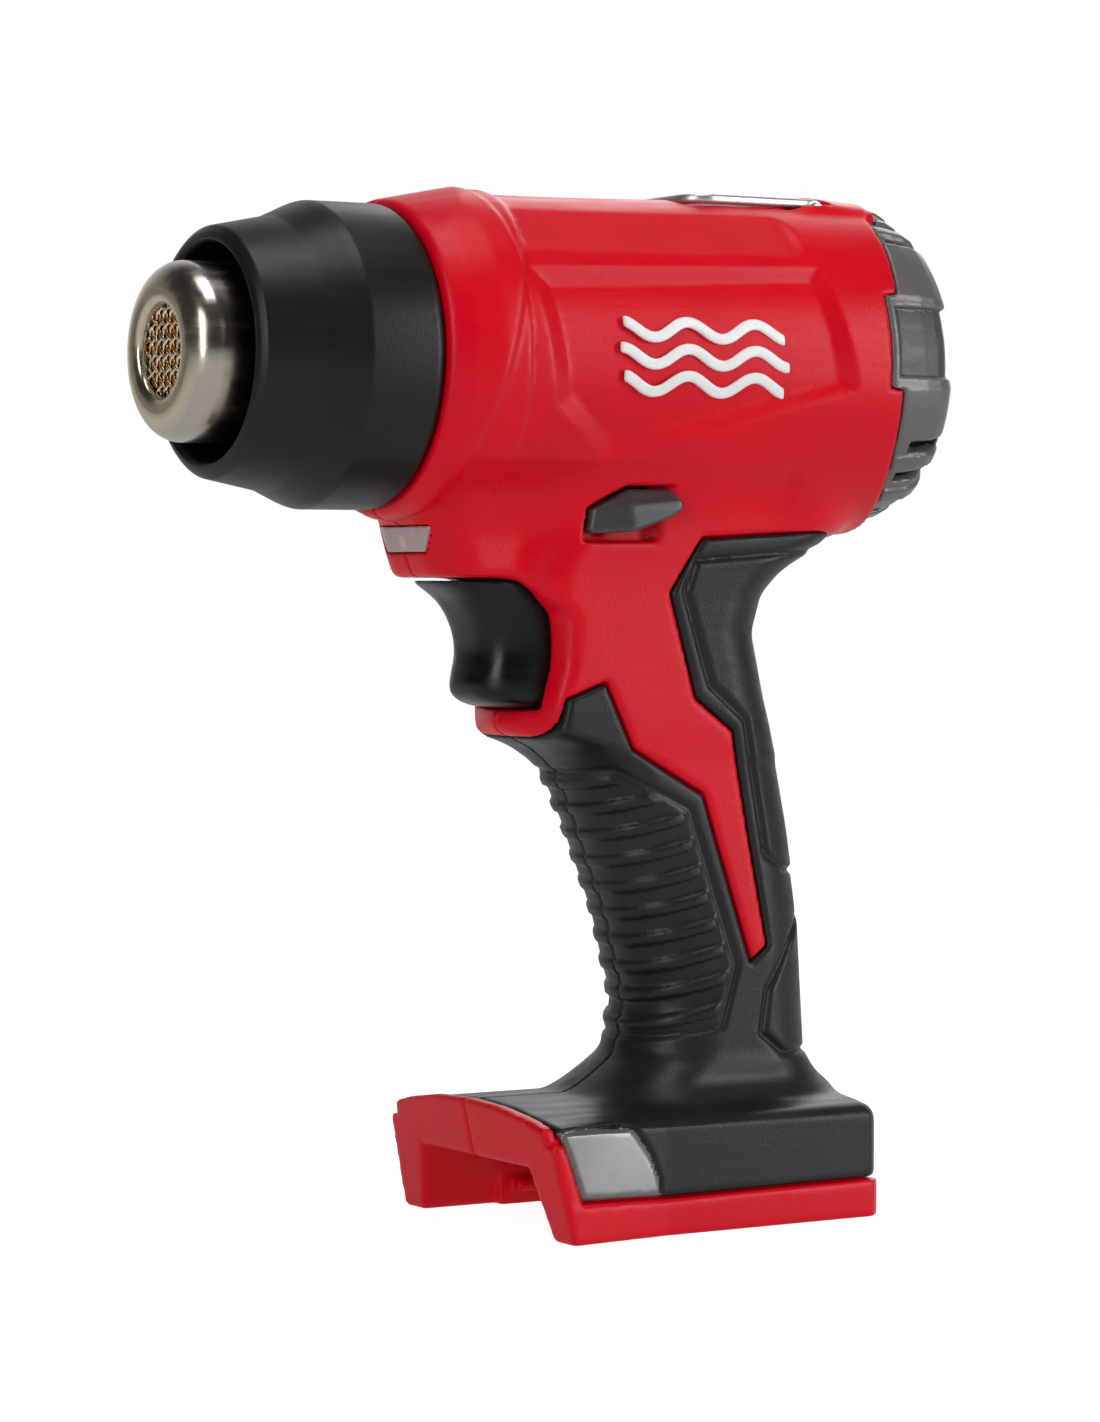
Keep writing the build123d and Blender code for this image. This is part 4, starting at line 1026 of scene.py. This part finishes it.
# -------- trigger, lever, lens, hook, emblem
# Trigger's front edge: height and how far forward.
TRIGGER_FRONT = [
    (105.0, -12.0), (106.4, -14.2), (108.0, -16.2), (110.2, -17.0), (113.0, -16.5), (116.5, -15.7),
    (120.0, -15.9), (123.4, -17.0), (126.6, -18.9), (129.1, -21.4), (130.8, -24.4), (132.0, -26.0),
]


def add_trigger():
    g = Grid((-13.0, -27.5, 105.0), (13.0, 5.5, 133.0), 0.36)
    heights = np.arange(104.0, 134.0, 0.25)
    front = np.interp(g.z, heights, smooth_line(TRIGGER_FRONT, 1, heights, 6))
    # In plan the front is crowned and its corners are rounded.
    face = (front + 0.012 * g.across**2 - g.y) * 0.8
    body = both(face, g.across - 12.0, 8.5)
    body = both(body, g.z - 131.8, 0.5)
    body = both(body, 106.0 - g.z, 3.0)
    body = both(body, g.y - 4.0, 0.5)
    body = cut(body, pair(g, (-3, -8.0, 108.8), (9.5, 9.0, 128.8), 0.6))
    build("trigger_moulding", *surface(body, g), "trigger", ["trigger"], "black_trigger", [trigger_black])


# Lever's paddle seen from the side.
PADDLE = [
    (1.3, 142.0), (2.0, 141.2), (10.2, 141.7), (18.7, 144.5), (21.3, 146.2), (21.5, 148.2),
    (19.0, 150.3), (9.4, 150.3), (1.9, 146.2),
]
PADDLE_CREST = (8.4, 146.4)  # where the paddle's three outer facets meet
PADDLE_SIDE = 24.1


def add_lever():
    g = Grid((-25.2, -0.2, 138.8), (25.2, 22.6, 151.6), 0.36)
    outline = polygon(PADDLE, g.y, g.z)
    along = g.y - PADDLE_CREST[0]
    rise = g.z - PADDLE_CREST[1] - 0.1 * along
    side = g.across - PADDLE_SIDE
    front = (side - 0.55 * along) * 0.876
    upper = (side + 0.6 * rise) * 0.857
    body = np.maximum(outline, 17.7 - g.across)
    for facet in (side, front, upper):
        body = both(body, facet, 0.7)
    shaft = crossbar(g, *LEVER_PIVOT, 1.7, 17.9)
    body = join(body, shaft, 0.3)
    build("lock_lever_moulding", *surface(body, g), "lever", ["lock_lever"], "lever_grey", [lever_grey])


def add_lens():
    g = Grid((-12.4, -33.0, 136.4), (12.4, -25.5, 143.8), 0.3)
    body = cut(chin(g) + 0.12, chin(g, 2.2))
    body = both(body, lens_zone(g), 0.4)
    body = both(body, g.y + 26.7)

    def lit(middles):
        return np.hypot(middles[:, 0], middles[:, 2] - LENS_MIDDLE + 0.6) < 1.3

    build("led_lens_moulding", *surface(body, g), "tool", ["led_lens"], "lens_plastic", [lens, glow], lit)


# Hook from above: a hoop about a box's corners, with the two bends' radii.
HOOK_MIDDLE = 60.0
HOOK_REACH = 23.0
HOOK_HALF = 5.5
HOOK_OUTER_BEND = 6.0
HOOK_INNER_BEND = 2.5


def add_hook():
    g = Grid((-12.4, 30.2, 207.2), (12.4, 64.6, 212.4), 0.33)
    hoop = square_corner(g.across - HOOK_HALF, np.abs(g.y - HOOK_MIDDLE) - HOOK_REACH)
    plate = cut(hoop - HOOK_OUTER_BEND, hoop - HOOK_INNER_BEND)
    plate = both(plate, np.abs(g.z - 210.7) - 1.0, 0.9)
    plate = both(plate, g.y - HOOK_PIVOT[0])
    pivot = from_line(g, *HOOK_PIVOT)
    eyes = both(pivot - 1.9, np.abs(g.across - 9.75) - 1.75, 0.5)
    body = cut(join(plate, eyes, 0.4), pivot - 0.95)
    build("hang_hook_formed", *surface(body, g), "hook", ["hang_hook"], "hook_steel", [hook_steel])


# Raised waves on both sides.
WAVE_FRONT = 1.0
WAVE_STEP = 8.0
WAVE_HEIGHT = 1.6
WAVE_WIDTH = 2.2
WAVE_ROW = 5.4


def add_emblems():
    g = Grid((29.6, 0.0, AXIS - 10.0), (34.6, 42.6, AXIS + 10.0), 0.28)
    wave = np.full(np.broadcast(g.y, g.z).shape, 1e3, np.float32)
    for row in (-1, 0, 1):
        turn = math.pi * (g.y - WAVE_FRONT) / WAVE_STEP
        swell = WAVE_HEIGHT * np.cos(turn)
        slope = np.sqrt(1 + (WAVE_HEIGHT * math.pi / WAVE_STEP * np.sin(turn)) ** 2)
        band = np.abs(g.z - AXIS - WAVE_ROW * row - swell) / slope - WAVE_WIDTH / 2
        ends = np.abs(g.y - WAVE_FRONT - 2.5 * WAVE_STEP) - 2.5 * WAVE_STEP + abs(row)
        wave = np.minimum(wave, both(band, ends, 0.6))
    r, angle = polar(g)
    radius = barrel_radius(g, angle)
    body = both(np.broadcast_to(wave, (g.x.shape[0],) + wave.shape[1:]), r - radius - 0.55, 0.35)
    body = both(body, radius - 0.5 - r)
    points, quads = surface(body, g)
    for side, mirror in (("left", False), ("right", True)):
        p, q = flip(points, quads) if mirror else (points, quads)
        build(f"{side}_emblem_waves", p, q, "tool", [f"{side}_emblem"], "white_emblem", [white])


add_housings()
add_overmoulds()
add_cap()
add_nose()
add_weave()
add_trigger()
add_lever()
add_lens()
add_hook()
add_emblems()

# -------- floor, light and camera
scene = bpy.context.scene
PAPER_GLOW = {"Emission Color": (1.0, 1.0, 1.0, 1.0), "Specular IOR Level": 0.1}
paper = finish("pale_floor", (0.3, 0.3, 0.3), 0.8, vary=0.01, grain=200, bump=0.02, **PAPER_GLOW)
# The floor looks white, but throws less light back up onto the object.
rays = paper.node_tree.nodes.new("ShaderNodeLightPath")
paper_level = remap(paper, rays.outputs["Is Camera Ray"], 0.4, 0.93)
paper_surface = paper.node_tree.nodes["Principled BSDF"]
paper.node_tree.links.new(paper_level, paper_surface.inputs["Emission Strength"])
floor_mesh = bpy.data.meshes.new("floor")
SIZE = 60.0
corners = [(-SIZE, -SIZE, 0), (SIZE, -SIZE, 0), (SIZE, SIZE, 0), (-SIZE, SIZE, 0)]
floor_mesh.from_pydata(corners, [], [(0, 1, 2, 3)])
floor_mesh.materials.append(paper)
floor = bpy.data.objects.new("floor", floor_mesh)
scene.collection.objects.link(floor)

CAMERA_SIDE = Vector((0.857, -0.515, 0.0))  # level direction from the object to the camera
world = bpy.data.worlds.new("studio")
world.use_nodes = True
nodes = world.node_tree.nodes
links = world.node_tree.links
sky = nodes["Background"]
sky.inputs["Color"].default_value = (1.0, 1.0, 1.0, 1.0)
# White backdrop behind the object, dark studio in front, and plain white where it is seen.
place = nodes.new("ShaderNodeTexCoord")
behind = nodes.new("ShaderNodeVectorMath")
behind.operation = "DOT_PRODUCT"
behind.inputs[1].default_value = -CAMERA_SIDE
links.new(place.outputs["Generated"], behind.inputs[0])
level = remap(world, behind.outputs["Value"], 0.04, 0.8, 0.45, 0.9)
seen = nodes.new("ShaderNodeLightPath")
choice = nodes.new("ShaderNodeMix")
links.new(seen.outputs["Is Camera Ray"], choice.inputs["Factor"])
links.new(level, choice.inputs["A"])
choice.inputs["B"].default_value = 1.0
links.new(choice.outputs["Result"], sky.inputs["Strength"])
scene.world = world
scene.view_settings.view_transform = "Standard"

TARGET = Vector((0.0, 0.00417, 0.10502))
CAMERA = Vector((0.76536, -0.45566, 0.13134))


def aim(thing, place, target):
    """Put a light or camera at place, looking at target."""
    thing.location = place
    thing.rotation_euler = (target - place).to_track_quat("-Z", "Y").to_euler()


def softbox(name, place, width, height, power):
    """Rectangular studio light, aimed at the middle of the tool."""
    lamp = bpy.data.lights.new(name, "AREA")
    lamp.shape = "RECTANGLE"
    lamp.size = width
    lamp.size_y = height
    lamp.energy = power
    holder = bpy.data.objects.new(name, lamp)
    scene.collection.objects.link(holder)
    aim(holder, Vector(place), Vector((0.0, 0.0, 0.12)))


softbox("left", (0.65, -1.1, 0.55), 0.4, 1.0, 7.0)
softbox("right", (0.97, 0.94, 0.4), 0.4, 1.0, 9.5)
softbox("top", (0.2, 0.0, 1.5), 0.8, 0.8, 8.0)
softbox("rim", (-0.9, 0.9, 0.8), 0.6, 0.9, 3.0)

lens_data = bpy.data.cameras.new("camera")
lens_data.sensor_fit = "VERTICAL"
lens_data.sensor_height = 36.0
lens_data.lens = 110.0
lens_data.clip_start = 0.01
camera = bpy.data.objects.new("camera", lens_data)
scene.collection.objects.link(camera)
aim(camera, CAMERA, TARGET)
scene.camera = camera
